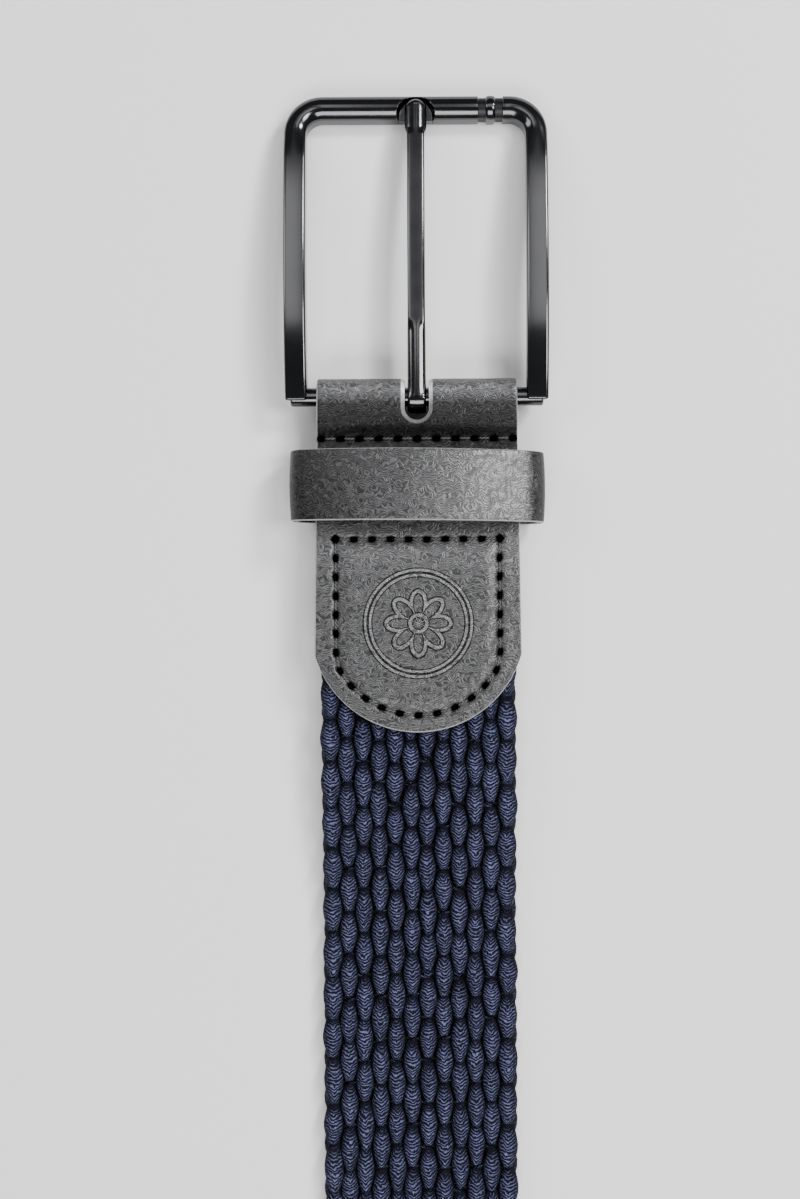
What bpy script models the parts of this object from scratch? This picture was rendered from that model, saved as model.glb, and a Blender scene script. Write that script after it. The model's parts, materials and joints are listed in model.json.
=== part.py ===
"""Braided belt with a single-prong buckle, lying flat and unfastened.

Metres, +Z up, the floor at z = 0. The belt runs along Y with its buckle at +Y, X is across it, and the origin lies
on the floor under the middle of its whole length. The bar that the prong and the leather fold turn on is along X,
and most places are given as a distance from that bar: "ahead" of it is +Y, "behind" it is -Y.
"""

import math

import bmesh
import bpy
from mathutils import Matrix, Vector

MM = 0.001

# Clearances
SEAT_GAP = 0.3 * MM  # between pieces that lie on each other
EYE_GAP = 0.25 * MM  # between the bar and the eye of the prong
CUT = 2 * MM  # how far a cutter stands out of what it cuts
WELD = 0.001 * MM

# Strap
STRAP_LENGTH = 1000 * MM  # from the bar to the tip of the end tab
BRAID_WIDTH = 35 * MM
BRAID_THICKNESS = 3.4 * MM
BRAID_COLUMNS = 12
RIB_DEPTH = 0.45 * MM
LEATHER = 1.3 * MM

# Leather tab folded round the bar
TAB_WIDTH_AT_FOLD = 36.2 * MM
TAB_WIDTH_AT_CORNERS = 37.4 * MM
TAB_CORNERS = 46.7 * MM  # behind the bar
TAB_TIP = 60.9 * MM  # behind the bar
SEAM = 7.8 * MM  # the row of stitches that closes the fold, behind the bar
SEAM_DIP = 1.5 * MM
SEAM_DIP_HALF_WIDTH = 3.2 * MM
SLOT_WIDTH = 4.4 * MM
SLOT_END = 4.5 * MM  # behind the bar

# Keeper loop
KEEPER_WIDTH = 46.4 * MM
KEEPER_BAND = 12.8 * MM  # along the belt
KEEPER_MIDDLE = 16.5 * MM  # behind the bar
KEEPER_WALL = 1.5 * MM
KEEPER_ROOM = 4.5 * MM  # over the tab, for the belt's free end
KEEPER_FOOT_RADIUS = 4.5 * MM
KEEPER_SHOULDER_RADIUS = 5 * MM
KEEPER_SIDE = 1.5 * MM  # the straight stretch between foot and shoulder

# End tab
END_TAB_LENGTH = 58 * MM
END_TAB_WIDTH = 37.4 * MM
END_TAB_POINT = 14.2 * MM  # how far its rounded end stands past its corners
END_TAB_RIM = 1 * MM  # leather between its corners and the cut end of the braid
EDGE_ROUND = 0.7 * MM

# Where the strap comes down to the floor
DRAPE_LENGTH = 38 * MM

# Buckle frame
FRAME_WIDTH = 47.8 * MM  # at the bar
FRAME_FLARE = 0.15 * MM  # how much further out each arm is at the tip bar
FRAME_REACH = 55.4 * MM  # from the bar to the far edge of the tip bar
ARM_WIDTH = 4 * MM
ARM_DEPTH = 4.15 * MM
ARM_CORNER_RADIUS = 0.9 * MM
ARM_TAIL = 0.4 * MM  # how far the arms run behind the bar
TIP_BAR_SCALE = 1.08  # the tip bar's section against the arms'
FRAME_CORNER_RADIUS = 7 * MM  # at the outer edge
FRAME_BOW = 2.75 * MM
FRAME_BOW_SKEW = 0.75  # below 1, the bow is highest on the bar's side of the middle
NOTCH_RADIUS = 3.35 * MM
NOTCH_INSET = 0.6 * MM  # from the bar's inner edge to the middle of the notch
NOTCH_FLOOR = 2.4 * MM  # above the floor
BEAD_OFFSET = 13.7 * MM  # from the middle of the tip bar to the ringed bead
BEAD_WIDTH = 1.75 * MM
BEAD_RADIUS = 2.2 * MM
GROOVE_WIDTH = 1.5 * MM
GROOVE_CORE_RADIUS = 1.85 * MM

# Prong
PRONG_WIDTH = 3.2 * MM
PRONG_TIP_WIDTH = 4 * MM
PRONG_TIP_LENGTH = 5.2 * MM
PRONG_NECK_LENGTH = 1.6 * MM  # where the tip narrows to the shaft
PRONG_THICKNESS = 2.2 * MM
PRONG_REACH = 54.65 * MM
PRONG_BOW = 1.7 * MM
PRONG_BOW_SKEW = 1
EYE_WALL = 1.15 * MM
PRONG_EDGE = 0.35 * MM

# Heights that follow from the sizes above
TAB_HALF_GAP = BRAID_THICKNESS / 2 + SEAT_GAP  # half of the room between the tab's two layers
TAB_HALF_DEPTH = TAB_HALF_GAP + LEATHER
BAR_HEIGHT = KEEPER_WALL + SEAT_GAP + TAB_HALF_DEPTH
BAR_RADIUS = TAB_HALF_GAP - SEAT_GAP
EYE_INNER_RADIUS = BAR_RADIUS + EYE_GAP
EYE_OUTER_RADIUS = EYE_INNER_RADIUS + EYE_WALL
END_TAB_HEIGHT = TAB_HALF_DEPTH  # the middle of the end tab, which lies on the floor
TIP_BAR_HEIGHT = ARM_DEPTH * TIP_BAR_SCALE / 2
TIP_BAR_MIDDLE = FRAME_REACH - ARM_WIDTH * TIP_BAR_SCALE / 2
BAR_Y = (STRAP_LENGTH - FRAME_REACH) / 2
END_TAB_MOUTH = STRAP_LENGTH - END_TAB_LENGTH
BRAID_START = SEAM + SEAM_DIP_HALF_WIDTH
BRAID_END = STRAP_LENGTH - END_TAB_POINT - END_TAB_RIM

# Sides of a full circle, and steps along each smooth stretch
ROUND_SIDES = 32
DRAPE_STEPS = 7
ARM_STEPS = 10
CORNER_STEPS = 7

UNIT = {"X": Vector((1, 0, 0)), "Y": Vector((0, 1, 0)), "Z": Vector((0, 0, 1))}


def smooth(share):
    """0 to 1 with no kink at either end."""
    return share * share * (3 - 2 * share)


def arc(centre, radius, start, end, steps):
    """Points on an arc between two angles in degrees, both ends included."""
    turns = [math.radians(start + (end - start) * i / steps) for i in range(steps + 1)]
    return [(centre[0] + radius * math.cos(a), centre[1] + radius * math.sin(a)) for a in turns]


def rounded_end(half_width, corner_y, tip_y, steps):
    """Points of the arc through (half_width, corner_y), (0, tip_y) and (-half_width, corner_y), corners included."""
    sagitta = abs(tip_y - corner_y)
    radius = (half_width**2 + sagitta**2) / (2 * sagitta)
    centre_y = tip_y + math.copysign(radius, corner_y - tip_y)
    start = math.degrees(math.atan2(corner_y - centre_y, half_width))
    tip = math.copysign(90, tip_y - corner_y)
    return arc((0, centre_y), radius, start, 2 * tip - start, steps)


def collection(name, shown=True):
    found = bpy.data.collections.new(name)
    bpy.context.scene.collection.children.link(found)
    found.hide_render = not shown
    return found


def material(name, colour, roughness, metallic=0.0):
    made = bpy.data.materials.new(name)
    made.use_nodes = True
    shader = made.node_tree.nodes["Principled BSDF"]
    shader.inputs["Base Color"].default_value = (*colour, 1)
    shader.inputs["Roughness"].default_value = roughness
    shader.inputs["Metallic"].default_value = metallic
    return made


def put(mesh, name, finish=None):
    """Adds a mesh as a piece of the belt or, with no finish, as a cutter."""
    made = bpy.data.objects.new(name, mesh)
    (BELT if finish else CUTTERS).objects.link(made)
    if finish:
        mesh.materials.append(finish)
    else:
        made.hide_render = True
        made.display_type = "WIRE"
    return made


def line(name, points, closed, dimensions):
    """A curve object of straight stretches through points (x, y, z, scale of what it carries)."""
    curve = bpy.data.curves.new(name, "CURVE")
    curve.dimensions = dimensions
    spline = curve.splines.new("POLY")
    spline.points.add(len(points) - 1)
    for point, (x, y, z, scale) in zip(spline.points, points):
        point.co = (x, y, z, 1)
        point.radius = scale
    spline.use_cyclic_u = closed
    made = bpy.data.objects.new(name, curve)
    CUTTERS.objects.link(made)
    made.hide_render = True
    return made


def solid_of(curve_object, finish=None):
    """Turns a filled curve object into a closed mesh in the same place."""
    evaluated = curve_object.evaluated_get(bpy.context.evaluated_depsgraph_get())
    mesh = bpy.data.meshes.new_from_object(evaluated)
    shape = bmesh.new()
    shape.from_mesh(mesh)
    bmesh.ops.remove_doubles(shape, verts=shape.verts, dist=WELD)
    bmesh.ops.recalc_face_normals(shape, faces=shape.faces)
    shape.to_mesh(mesh)
    shape.free()
    name = curve_object.name
    place = curve_object.matrix_world.copy()
    bpy.data.objects.remove(curve_object)
    made = put(mesh, name, finish)
    made.matrix_world = place
    return made


def prism(name, outline, axis, low, high, finish=None):
    """A flat outline extruded along an axis. On X the outline is (y, z), on Y it is (x, z), and on Z it is (x, y)."""
    flat = line(name, [(u, v, 0, 1) for u, v in outline], True, "2D")
    flat.data.fill_mode = "BOTH"
    flat.data.extrude = (high - low) / 2
    across, up = {"X": ("Y", "Z"), "Y": ("X", "Z"), "Z": ("X", "Y")}[axis]
    first, second = UNIT[across], UNIT[up]
    turn = Matrix((first, second, first.cross(second))).transposed().to_4x4()
    flat.matrix_world = Matrix.Translation(UNIT[axis] * (low + high) / 2) @ turn
    return solid_of(flat, finish)


def sweep(name, outline, path, finish):
    """An outline (across, up) carried along a path of points (x, y, z, scale)."""
    carried = line(name + "_section", [(u, v, 0, 1) for u, v in outline], True, "2D")
    carrier = line(name, path, False, "3D")
    carrier.data.twist_mode = "Z_UP"
    carrier.data.bevel_mode = "OBJECT"
    carrier.data.bevel_object = carried
    carrier.data.use_fill_caps = True
    made = solid_of(carrier, finish)
    bpy.data.objects.remove(carried)
    return made


def turned(name, profile, centre):
    """A cutter turned round a line along X through centre, from a closed profile of (place on X, radius)."""
    mesh = bpy.data.meshes.new(name)
    count = len(profile)
    mesh.from_pydata([(x, 0, radius) for x, radius in profile], [(i, (i + 1) % count) for i in range(count)], [])
    made = put(mesh, name)
    made.location = centre
    turn = made.modifiers.new("turn", "SCREW")
    turn.axis = "X"
    turn.angle = math.tau
    turn.steps = ROUND_SIDES
    turn.render_steps = ROUND_SIDES
    turn.use_merge_vertices = True
    turn.merge_threshold = WELD
    return made


def turn_on_bar(piece):
    """Moves the piece's origin onto the bar's axis, with the piece left where it is."""
    before = piece.matrix_basis.copy()
    piece.location = (0, BAR_Y, BAR_HEIGHT)
    piece.data.transform(piece.matrix_basis.inverted() @ before)


def cylinder(name, centre, radius, length, axis, finish=None):
    shape = bmesh.new()
    bmesh.ops.create_cone(
        shape, cap_ends=True, segments=ROUND_SIDES, radius1=radius, radius2=radius, depth=length
    )
    mesh = bpy.data.meshes.new(name)
    shape.to_mesh(mesh)
    shape.free()
    made = put(mesh, name, finish)
    made.location = centre
    made.rotation_euler = {"X": (0, math.radians(90), 0), "Z": (0, 0, 0)}[axis]
    return made


def cut(piece, cutter, operation="DIFFERENCE"):
    change = piece.modifiers.new(cutter.name, "BOOLEAN")
    change.object = cutter
    change.operation = operation


def soften(piece, width, segments=2):
    """Rounds the sharp edges."""
    edges = piece.modifiers.new("edges", "BEVEL")
    edges.width = width
    edges.segments = segments
    edges.limit_method = "ANGLE"
    edges.angle_limit = math.radians(40)


def shade(piece):
    piece.data.shade_smooth()
    piece.data.set_sharp_from_angle(angle=math.radians(35))


def strap_height(behind):
    """Height of the strap's middle at a distance behind the bar: down from the tab, flat, then up to its end."""
    resting = BRAID_THICKNESS / 2
    down = min(max((behind - TAB_TIP) / DRAPE_LENGTH, 0), 1)
    up = min(max((behind - END_TAB_MOUTH + DRAPE_LENGTH) / DRAPE_LENGTH, 0), 1)
    return BAR_HEIGHT + (resting - BAR_HEIGHT) * smooth(down) + (END_TAB_HEIGHT - resting) * smooth(up)


def bowed(ahead, reach, start, end, bow, skew):
    """Height at a distance ahead of the bar on a line from start to end, bowed upwards."""
    share = min(max(ahead / reach, 0), 1)
    return start + (end - start) * share + bow * math.sin(math.pi * share**skew)


def make_braid():
    """The plaited band, with one lengthwise rib on each face for each column of cord."""
    pitch = BRAID_WIDTH / BRAID_COLUMNS
    half = BRAID_THICKNESS / 2
    # Each rib's points: share across the rib, and share of the rib's depth below its crest.
    rib = ((0.0, 1.0), (0.2, 0.3), (0.5, 0.0), (0.8, 0.3))
    upper = []
    for column in range(BRAID_COLUMNS):
        for across, below in rib:
            upper.append(((column + across) * pitch - BRAID_WIDTH / 2, half - below * RIB_DEPTH))
    upper[0] = (-BRAID_WIDTH / 2, half / 3)
    upper.append((BRAID_WIDTH / 2, half / 3))
    outline = upper + [(x, -z) for x, z in reversed(upper)]

    stations = [BRAID_START, TAB_TIP]
    stations += [TAB_TIP + DRAPE_LENGTH * (i + 1) / DRAPE_STEPS for i in range(DRAPE_STEPS)]
    stations += [END_TAB_MOUTH - DRAPE_LENGTH * (1 - i / DRAPE_STEPS) for i in range(DRAPE_STEPS + 1)]
    stations.append(BRAID_END)

    path = [(0, BAR_Y - behind, strap_height(behind), 1) for behind in stations]
    return sweep("braid", outline, path, NAVY_CORD)


def make_buckle_tab():
    """One piece of leather folded round the bar, over and under the end of the braid."""
    steps = 8
    dips = []
    for i in range(steps + 1):
        share = 2 * i / steps - 1
        dips.append((SEAM - share * SEAM_DIP_HALF_WIDTH, SEAM_DIP * math.cos(share * math.pi / 2) ** 2))
    run = [(TAB_TIP + CUT, 0), *dips]

    def layer(half_depth, side):
        return [(BAR_Y - behind, BAR_HEIGHT + side * (half_depth - dip)) for behind, dip in run]

    bar = (BAR_Y, BAR_HEIGHT)
    fold_steps = ROUND_SIDES // 2
    outline = layer(TAB_HALF_DEPTH, 1) + arc(bar, TAB_HALF_DEPTH, 90, -90, fold_steps)
    outline += layer(TAB_HALF_DEPTH, -1)[::-1] + layer(TAB_HALF_GAP, -1)
    outline += arc(bar, TAB_HALF_GAP, -90, 90, fold_steps) + layer(TAB_HALF_GAP, 1)[::-1]
    wide = TAB_WIDTH_AT_CORNERS / 2 + CUT
    tab = prism("buckle_tab", outline, "X", -wide, wide, BLACK_LEATHER)

    # The cut shape of the leather, seen from above
    fold_y = BAR_Y + TAB_HALF_DEPTH + CUT
    corner_y = BAR_Y - TAB_CORNERS
    at_fold = TAB_WIDTH_AT_FOLD / 2
    plan = [(-at_fold, fold_y), (at_fold, fold_y), (at_fold, BAR_Y)]
    plan += rounded_end(TAB_WIDTH_AT_CORNERS / 2, corner_y, BAR_Y - TAB_TIP, 28)
    plan += [(-at_fold, BAR_Y)]
    top = BAR_HEIGHT + TAB_HALF_DEPTH + CUT
    cut(tab, prism("tab_plan", plan, "Z", -CUT, top), "INTERSECT")

    slot_y = BAR_Y - SLOT_END + SLOT_WIDTH / 2
    slot = arc((0, slot_y), SLOT_WIDTH / 2, 180, 360, 12)
    slot += [(SLOT_WIDTH / 2, fold_y + CUT), (-SLOT_WIDTH / 2, fold_y + CUT)]
    cut(tab, prism("prong_slot", slot, "Z", -2 * CUT, top + CUT))
    return tab


def keeper_outline(wall):
    """Half of the keeper's section and its mirror image, taken in by wall. A wide arc crowns the top."""
    side = KEEPER_WIDTH / 2
    foot = (side - KEEPER_FOOT_RADIUS, KEEPER_FOOT_RADIUS)
    shoulder = (side - KEEPER_SHOULDER_RADIUS, KEEPER_FOOT_RADIUS + KEEPER_SIDE)
    crown = BAR_HEIGHT + TAB_HALF_DEPTH + KEEPER_ROOM + KEEPER_WALL
    # The crown's circle touches the shoulder's from inside.
    rise = crown - shoulder[1]
    crown_radius = (shoulder[0] ** 2 + rise**2 - KEEPER_SHOULDER_RADIUS**2) / (2 * (rise - KEEPER_SHOULDER_RADIUS))
    crown_centre = (0, crown - crown_radius)
    lean = math.degrees(math.atan2(shoulder[0], shoulder[1] - crown_centre[1]))
    right = arc(foot, KEEPER_FOOT_RADIUS - wall, -90, 0, 6)
    right += arc(shoulder, KEEPER_SHOULDER_RADIUS - wall, 0, 90 - lean, 6)
    right += arc(crown_centre, crown_radius - wall, 90 - lean, 90, 6)[1:]
    return right + [(-x, z) for x, z in reversed(right[:-1])]


def make_keeper():
    """The leather loop round the tab that holds the belt's free end."""
    middle = BAR_Y - KEEPER_MIDDLE
    half = KEEPER_BAND / 2
    keeper = prism("keeper_loop", keeper_outline(0), "Y", middle - half, middle + half, BLACK_LEATHER)
    hollow = keeper_outline(KEEPER_WALL)
    cut(keeper, prism("keeper_hollow", hollow, "Y", middle - half - CUT, middle + half + CUT))
    return keeper


def make_end_tab():
    """Two layers of leather sewn over and under the far end of the braid, which meet round it."""
    half = END_TAB_WIDTH / 2
    mouth_y = BAR_Y - END_TAB_MOUTH
    tip_y = BAR_Y - STRAP_LENGTH
    plan = [(-half, mouth_y), (half, mouth_y)] + rounded_end(half, tip_y + END_TAB_POINT, tip_y, 24)
    pocket_half = BRAID_WIDTH / 2 + SEAT_GAP
    pocket_y = BAR_Y - BRAID_END - SEAT_GAP
    for name, side in (("end_tab_front", 1), ("end_tab_back", -1)):
        seam = END_TAB_HEIGHT + side * SEAT_GAP / 2
        face = END_TAB_HEIGHT + side * TAB_HALF_DEPTH
        layer = prism(name, plan, "Z", min(seam, face), max(seam, face), BLACK_LEATHER)
        soften(layer, EDGE_ROUND)
        ceiling = END_TAB_HEIGHT + side * TAB_HALF_GAP
        floor = END_TAB_HEIGHT - side * CUT
        pocket = [(-pocket_half, pocket_y), (pocket_half, pocket_y)]
        pocket += [(pocket_half, mouth_y + CUT), (-pocket_half, mouth_y + CUT)]
        cut(layer, prism(name + "_pocket", pocket, "Z", min(floor, ceiling), max(floor, ceiling)))


def rounded_rectangle(width, height, radius, steps):
    """Points of a rectangle with round corners, about its own middle."""
    points = []
    for turn, (sign_u, sign_v) in enumerate(((1, 1), (-1, 1), (-1, -1), (1, -1))):
        centre = (sign_u * (width / 2 - radius), sign_v * (height / 2 - radius))
        points += arc(centre, radius, 90 * turn, 90 * turn + 90, steps)
    return points


def frame_path():
    """Points (x, y, z, scale of the section) from one arm's end round the tip bar to the other arm's end."""
    side = (FRAME_WIDTH - ARM_WIDTH) / 2
    turn = FRAME_CORNER_RADIUS - ARM_WIDTH / 2
    corner = (side + FRAME_FLARE - turn, TIP_BAR_MIDDLE - turn)
    shares = [i / ARM_STEPS for i in range(ARM_STEPS)]
    plan = [(side + FRAME_FLARE * share, -ARM_TAIL + (corner[1] + ARM_TAIL) * share) for share in shares]
    plan += arc(corner, turn, 0, 90, CORNER_STEPS)
    right = []
    for x, ahead in plan:
        height = bowed(ahead, TIP_BAR_MIDDLE, BAR_HEIGHT, TIP_BAR_HEIGHT, FRAME_BOW, FRAME_BOW_SKEW)
        thick = 1 + (TIP_BAR_SCALE - 1) * smooth(min(max((ahead - corner[1]) / turn, 0), 1))
        right.append((x, BAR_Y + ahead, height, thick))
    return right + [(-x, y, z, thick) for x, y, z, thick in reversed(right)]


def make_frame():
    """The cast frame: two bowed arms, the tip bar with its notch and ringed bead, and the bar in the leather fold."""
    section = rounded_rectangle(ARM_WIDTH, ARM_DEPTH, ARM_CORNER_RADIUS, 3)
    frame = sweep("buckle_frame", section, frame_path(), GUNMETAL)

    span = FRAME_WIDTH - ARM_WIDTH
    bar = cylinder("strap_bar", (0, BAR_Y, BAR_HEIGHT), BAR_RADIUS, span, "X")
    cut(frame, bar, "UNION")

    tip_y = BAR_Y + TIP_BAR_MIDDLE
    inner_edge = BAR_Y + FRAME_REACH - ARM_WIDTH * TIP_BAR_SCALE
    notch_top = 2 * TIP_BAR_HEIGHT + CUT
    notch_middle = (NOTCH_FLOOR + notch_top) / 2
    notch_place = (0, inner_edge + NOTCH_INSET, notch_middle)
    cut(frame, cylinder("notch", notch_place, NOTCH_RADIUS, notch_top - NOTCH_FLOOR, "Z"))

    bead = BEAD_WIDTH / 2
    groove = bead + GROOVE_WIDTH
    far = 2 * TIP_BAR_HEIGHT
    profile = [(groove, far), (groove, GROOVE_CORE_RADIUS), (bead, GROOVE_CORE_RADIUS), (bead, BEAD_RADIUS)]
    profile = [(-x, radius) for x, radius in profile] + profile[::-1]
    cut(frame, turned("bead_and_grooves", profile, (BEAD_OFFSET, tip_y, TIP_BAR_HEIGHT)))
    turn_on_bar(frame)
    return frame


def make_prong():
    """The pin: a bowed bar with a flattened tip that lies in the notch and an eye that turns on the bar."""
    start = BAR_HEIGHT + EYE_OUTER_RADIUS - PRONG_THICKNESS / 2
    end = NOTCH_FLOOR + SEAT_GAP + PRONG_THICKNESS / 2
    half = PRONG_THICKNESS / 2
    steps = 12
    shaft_start = EYE_OUTER_RADIUS + half
    round_start = PRONG_REACH - half
    stations = [shaft_start + (round_start - shaft_start) * i / steps for i in range(steps + 1)]
    middle = [(ahead, bowed(ahead, round_start, start, end, PRONG_BOW, PRONG_BOW_SKEW)) for ahead in stations]
    upper = [(BAR_Y + ahead, height + half) for ahead, height in middle]
    lower = [(BAR_Y + ahead, height - half) for ahead, height in middle]
    nose = arc((BAR_Y + round_start, middle[-1][1]), half, -90, 90, 6)[1:-1]
    eye = arc((BAR_Y, BAR_HEIGHT), EYE_OUTER_RADIUS, 90, 330, 20)
    outline = lower + nose + upper[::-1] + eye
    wide = PRONG_TIP_WIDTH / 2 + CUT
    prong = prism("prong", outline, "X", -wide, wide, GUNMETAL)

    # Its width, seen from above
    shaft = PRONG_WIDTH / 2
    tip = PRONG_TIP_WIDTH / 2
    tip_y = BAR_Y + PRONG_REACH
    flare = tip_y - PRONG_TIP_LENGTH
    behind = BAR_Y - EYE_OUTER_RADIUS - CUT
    plan = [(shaft, behind), (shaft, flare - PRONG_NECK_LENGTH), (tip, flare)]
    plan += rounded_end(tip, tip_y - PRONG_TIP_LENGTH / 4, tip_y, 6)
    plan += [(-tip, flare), (-shaft, flare - PRONG_NECK_LENGTH), (-shaft, behind)]
    cut(prong, prism("prong_plan", plan, "Z", -CUT, start + PRONG_BOW + 2 * CUT), "INTERSECT")
    cut(prong, cylinder("eye_hole", (0, BAR_Y, BAR_HEIGHT), EYE_INNER_RADIUS, 2 * wide + CUT, "X"))
    soften(prong, PRONG_EDGE)
    turn_on_bar(prong)
    return prong


for old in list(bpy.data.objects):
    bpy.data.objects.remove(old)

BELT = collection("braided_belt")
CUTTERS = collection("cutters", shown=False)
NAVY_CORD = material("navy_cord", (0.035, 0.04, 0.105), 0.85)
BLACK_LEATHER = material("black_leather", (0.045, 0.045, 0.047), 0.5)
GUNMETAL = material("gunmetal", (0.16, 0.16, 0.17), 0.18, 1.0)

make_braid()
make_buckle_tab()
make_keeper()
make_end_tab()
make_frame()
make_prong()
for name in ("braid", "buckle_frame", "prong"):
    shade(bpy.data.objects[name])
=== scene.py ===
"""A navy braided belt with a dark nickel prong buckle, laid open and face up on a pale floor.

The belt runs along Y with its buckle at +Y. "Ahead" of the bar that the leather is folded round is +Y, and
"behind" it is -Y. Lengths are written in millimetres times MM.
"""

import json
import math

import bpy
import numpy as np
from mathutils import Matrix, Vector


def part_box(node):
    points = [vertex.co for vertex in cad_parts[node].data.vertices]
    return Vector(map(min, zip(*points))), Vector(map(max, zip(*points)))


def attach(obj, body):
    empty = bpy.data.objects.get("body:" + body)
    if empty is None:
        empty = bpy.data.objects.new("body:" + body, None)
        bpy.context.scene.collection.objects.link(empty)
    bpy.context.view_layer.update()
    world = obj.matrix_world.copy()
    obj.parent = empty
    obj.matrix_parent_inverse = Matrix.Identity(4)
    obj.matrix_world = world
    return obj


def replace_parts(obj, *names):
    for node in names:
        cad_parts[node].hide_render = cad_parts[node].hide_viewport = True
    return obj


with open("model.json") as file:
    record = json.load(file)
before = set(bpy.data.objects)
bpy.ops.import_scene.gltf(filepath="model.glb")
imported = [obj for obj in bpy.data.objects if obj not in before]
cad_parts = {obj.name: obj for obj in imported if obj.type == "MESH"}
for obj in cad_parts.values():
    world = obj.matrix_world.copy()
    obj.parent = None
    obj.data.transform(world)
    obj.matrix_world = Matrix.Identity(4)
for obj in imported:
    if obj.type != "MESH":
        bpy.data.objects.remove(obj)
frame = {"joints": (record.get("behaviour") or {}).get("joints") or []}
for loaded in list(bpy.context.selected_objects):
    loaded.select_set(False)
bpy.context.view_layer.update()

MM = 0.001
BAR = Vector(frame["joints"][0]["pos_m"])

# The camera
# The photo looks straight down on the buckle end from a little over a quarter of a metre. The belt stands
# slightly right of its middle and leans by a fraction of a degree.
PHOTO_WIDE, PHOTO_HIGH = 800, 1199
PHOTO_BAR = (418.0, 396.8)  # the pixel of the bar's middle
PHOTO_EYE_X = 436.0  # the pixel column that the camera stands over
PIXELS_PER_MM = 5.49
CAMERA_ABOVE_BAR = 280 * MM
CAMERA_LEAN = -0.3
SENSOR = 36.0

pixel = MM / PIXELS_PER_MM
camera_data = bpy.data.cameras.new("camera")
camera_data.sensor_width = SENSOR
camera_data.lens = SENSOR * CAMERA_ABOVE_BAR / (PHOTO_HIGH * pixel)
camera_data.shift_x = (PHOTO_WIDE / 2 - PHOTO_EYE_X) / PHOTO_HIGH
camera_data.clip_start = 0.01
camera = bpy.data.objects.new("camera", camera_data)
bpy.context.scene.collection.objects.link(camera)
camera.location = (
    (PHOTO_EYE_X - PHOTO_BAR[0]) * pixel,
    BAR.y + (PHOTO_BAR[1] - PHOTO_HIGH / 2) * pixel,
    BAR.z + CAMERA_ABOVE_BAR,
)
camera.rotation_euler = (0, 0, math.radians(CAMERA_LEAN))
bpy.context.scene.camera = camera

# The floor and the studio light
# A plain pale floor. A key lamp beyond the buckle, one on the right for the loop's sheen, a soft one on the
# left and a wide one behind light the leather and the cords. Two dim panels hang side by side overhead. The
# arms mirror their grey, and the gap between them leaves the prong's shaft dark.
FLOOR_SIZE = 24.0
FLOOR_COLOUR = (0.80, 0.80, 0.79)
SKY_COLOUR = (0.55, 0.57, 0.60)
SKY_STRENGTH = 0.24
LAMPS = (
    # name, place from the bar, x that it faces, width, length, watts
    ("key_lamp", (0.62, 0.50, 0.66), 0, 0.20, 0.20, 9),
    ("right_lamp", (0.60, 0.02, 0.86), 0, 0.36, 0.40, 8),
    ("left_lamp", (-0.80, 0.35, 0.62), 0, 0.40, 0.60, 4),
    ("low_lamp", (0.00, -0.80, 0.80), 0, 0.90, 0.46, 11),
    ("left_panel", (-0.235, 0.44, 1.15), -0.235, 0.32, 0.68, 1.6),
    ("right_panel", (0.205, 0.44, 1.15), 0.205, 0.32, 0.68, 1.6),
)

bpy.ops.mesh.primitive_plane_add(size=FLOOR_SIZE)
floor = bpy.context.object
floor.name = "floor"
floor.select_set(False)
floor_paint = bpy.data.materials.new("floor_paint")
floor_paint.use_nodes = True
floor_shader = floor_paint.node_tree.nodes["Principled BSDF"]
floor_shader.inputs["Base Color"].default_value = (*FLOOR_COLOUR, 1)
floor_shader.inputs["Roughness"].default_value = 0.9
floor.data.materials.append(floor_paint)

for lamp_name, from_bar, facing_x, wide, long, watts in LAMPS:
    lamp_data = bpy.data.lights.new(lamp_name, "AREA")
    lamp_data.shape = "RECTANGLE"
    lamp_data.size = wide
    lamp_data.size_y = long
    lamp_data.energy = watts
    lamp = bpy.data.objects.new(lamp_name, lamp_data)
    bpy.context.scene.collection.objects.link(lamp)
    lamp.location = BAR + Vector(from_bar)
    facing = BAR + Vector((facing_x, 0, 0)) - lamp.location
    lamp.rotation_euler = facing.to_track_quat("-Z", "Y").to_euler()

sky = bpy.data.worlds.new("studio")
sky.use_nodes = True
sky.node_tree.nodes["Background"].inputs["Color"].default_value = (*SKY_COLOUR, 1)
sky.node_tree.nodes["Background"].inputs["Strength"].default_value = SKY_STRENGTH
bpy.context.scene.world = sky

# The braid
# Twenty-five flat navy cords are plaited two over and two under into one band. On each face a cord lies
# straight for one stitch, raised at its far end over the head of the next, then dives to the other face one
# column further on. At both edges it turns round the edge and comes back the other way.
COLUMNS = 12
CORDS = 2 * COLUMNS + 1
STITCH = 7.9 * MM  # the length that a cord lies on one face
COLUMN_PITCH = 2.9 * MM
LAYER_HEIGHT = 0.84 * MM  # of a cord's middle over the middle of the band
CORD_THICKNESS = 1.62 * MM
CORD_SIDES = 10
EDGE_TURN = 0.95 * MM  # how far a cord's middle goes out round the edge
CROSSING = 0.17  # length of a crossing between faces, as a share of a stitch
CROSSING_DELAY = 0.05  # a cord dives this late and comes up this early, as a share of a stitch
CORD_WANDER = 0.07 * MM
CORD_SLIP = 0.36 * MM  # how uneven the stitches lie lengthwise
STITCH_FORM = (
    # place along the stitch, half width, height over the layer and thickness as a share of the cord's
    (0.00, 1.10 * MM, -0.62 * MM, 0.64),
    (0.12, 1.28 * MM, -0.38 * MM, 0.80),
    (0.28, 1.54 * MM, -0.10 * MM, 0.93),
    (0.42, 1.72 * MM, 0.05 * MM, 1.00),
    (0.56, 1.70 * MM, 0.14 * MM, 1.00),
    (0.70, 1.46 * MM, 0.26 * MM, 0.99),
    (0.84, 1.10 * MM, 0.40 * MM, 0.94),
    (0.95, 0.80 * MM, 0.44 * MM, 0.84),
    (1.00, 0.64 * MM, 0.34 * MM, 0.70),
)
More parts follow.
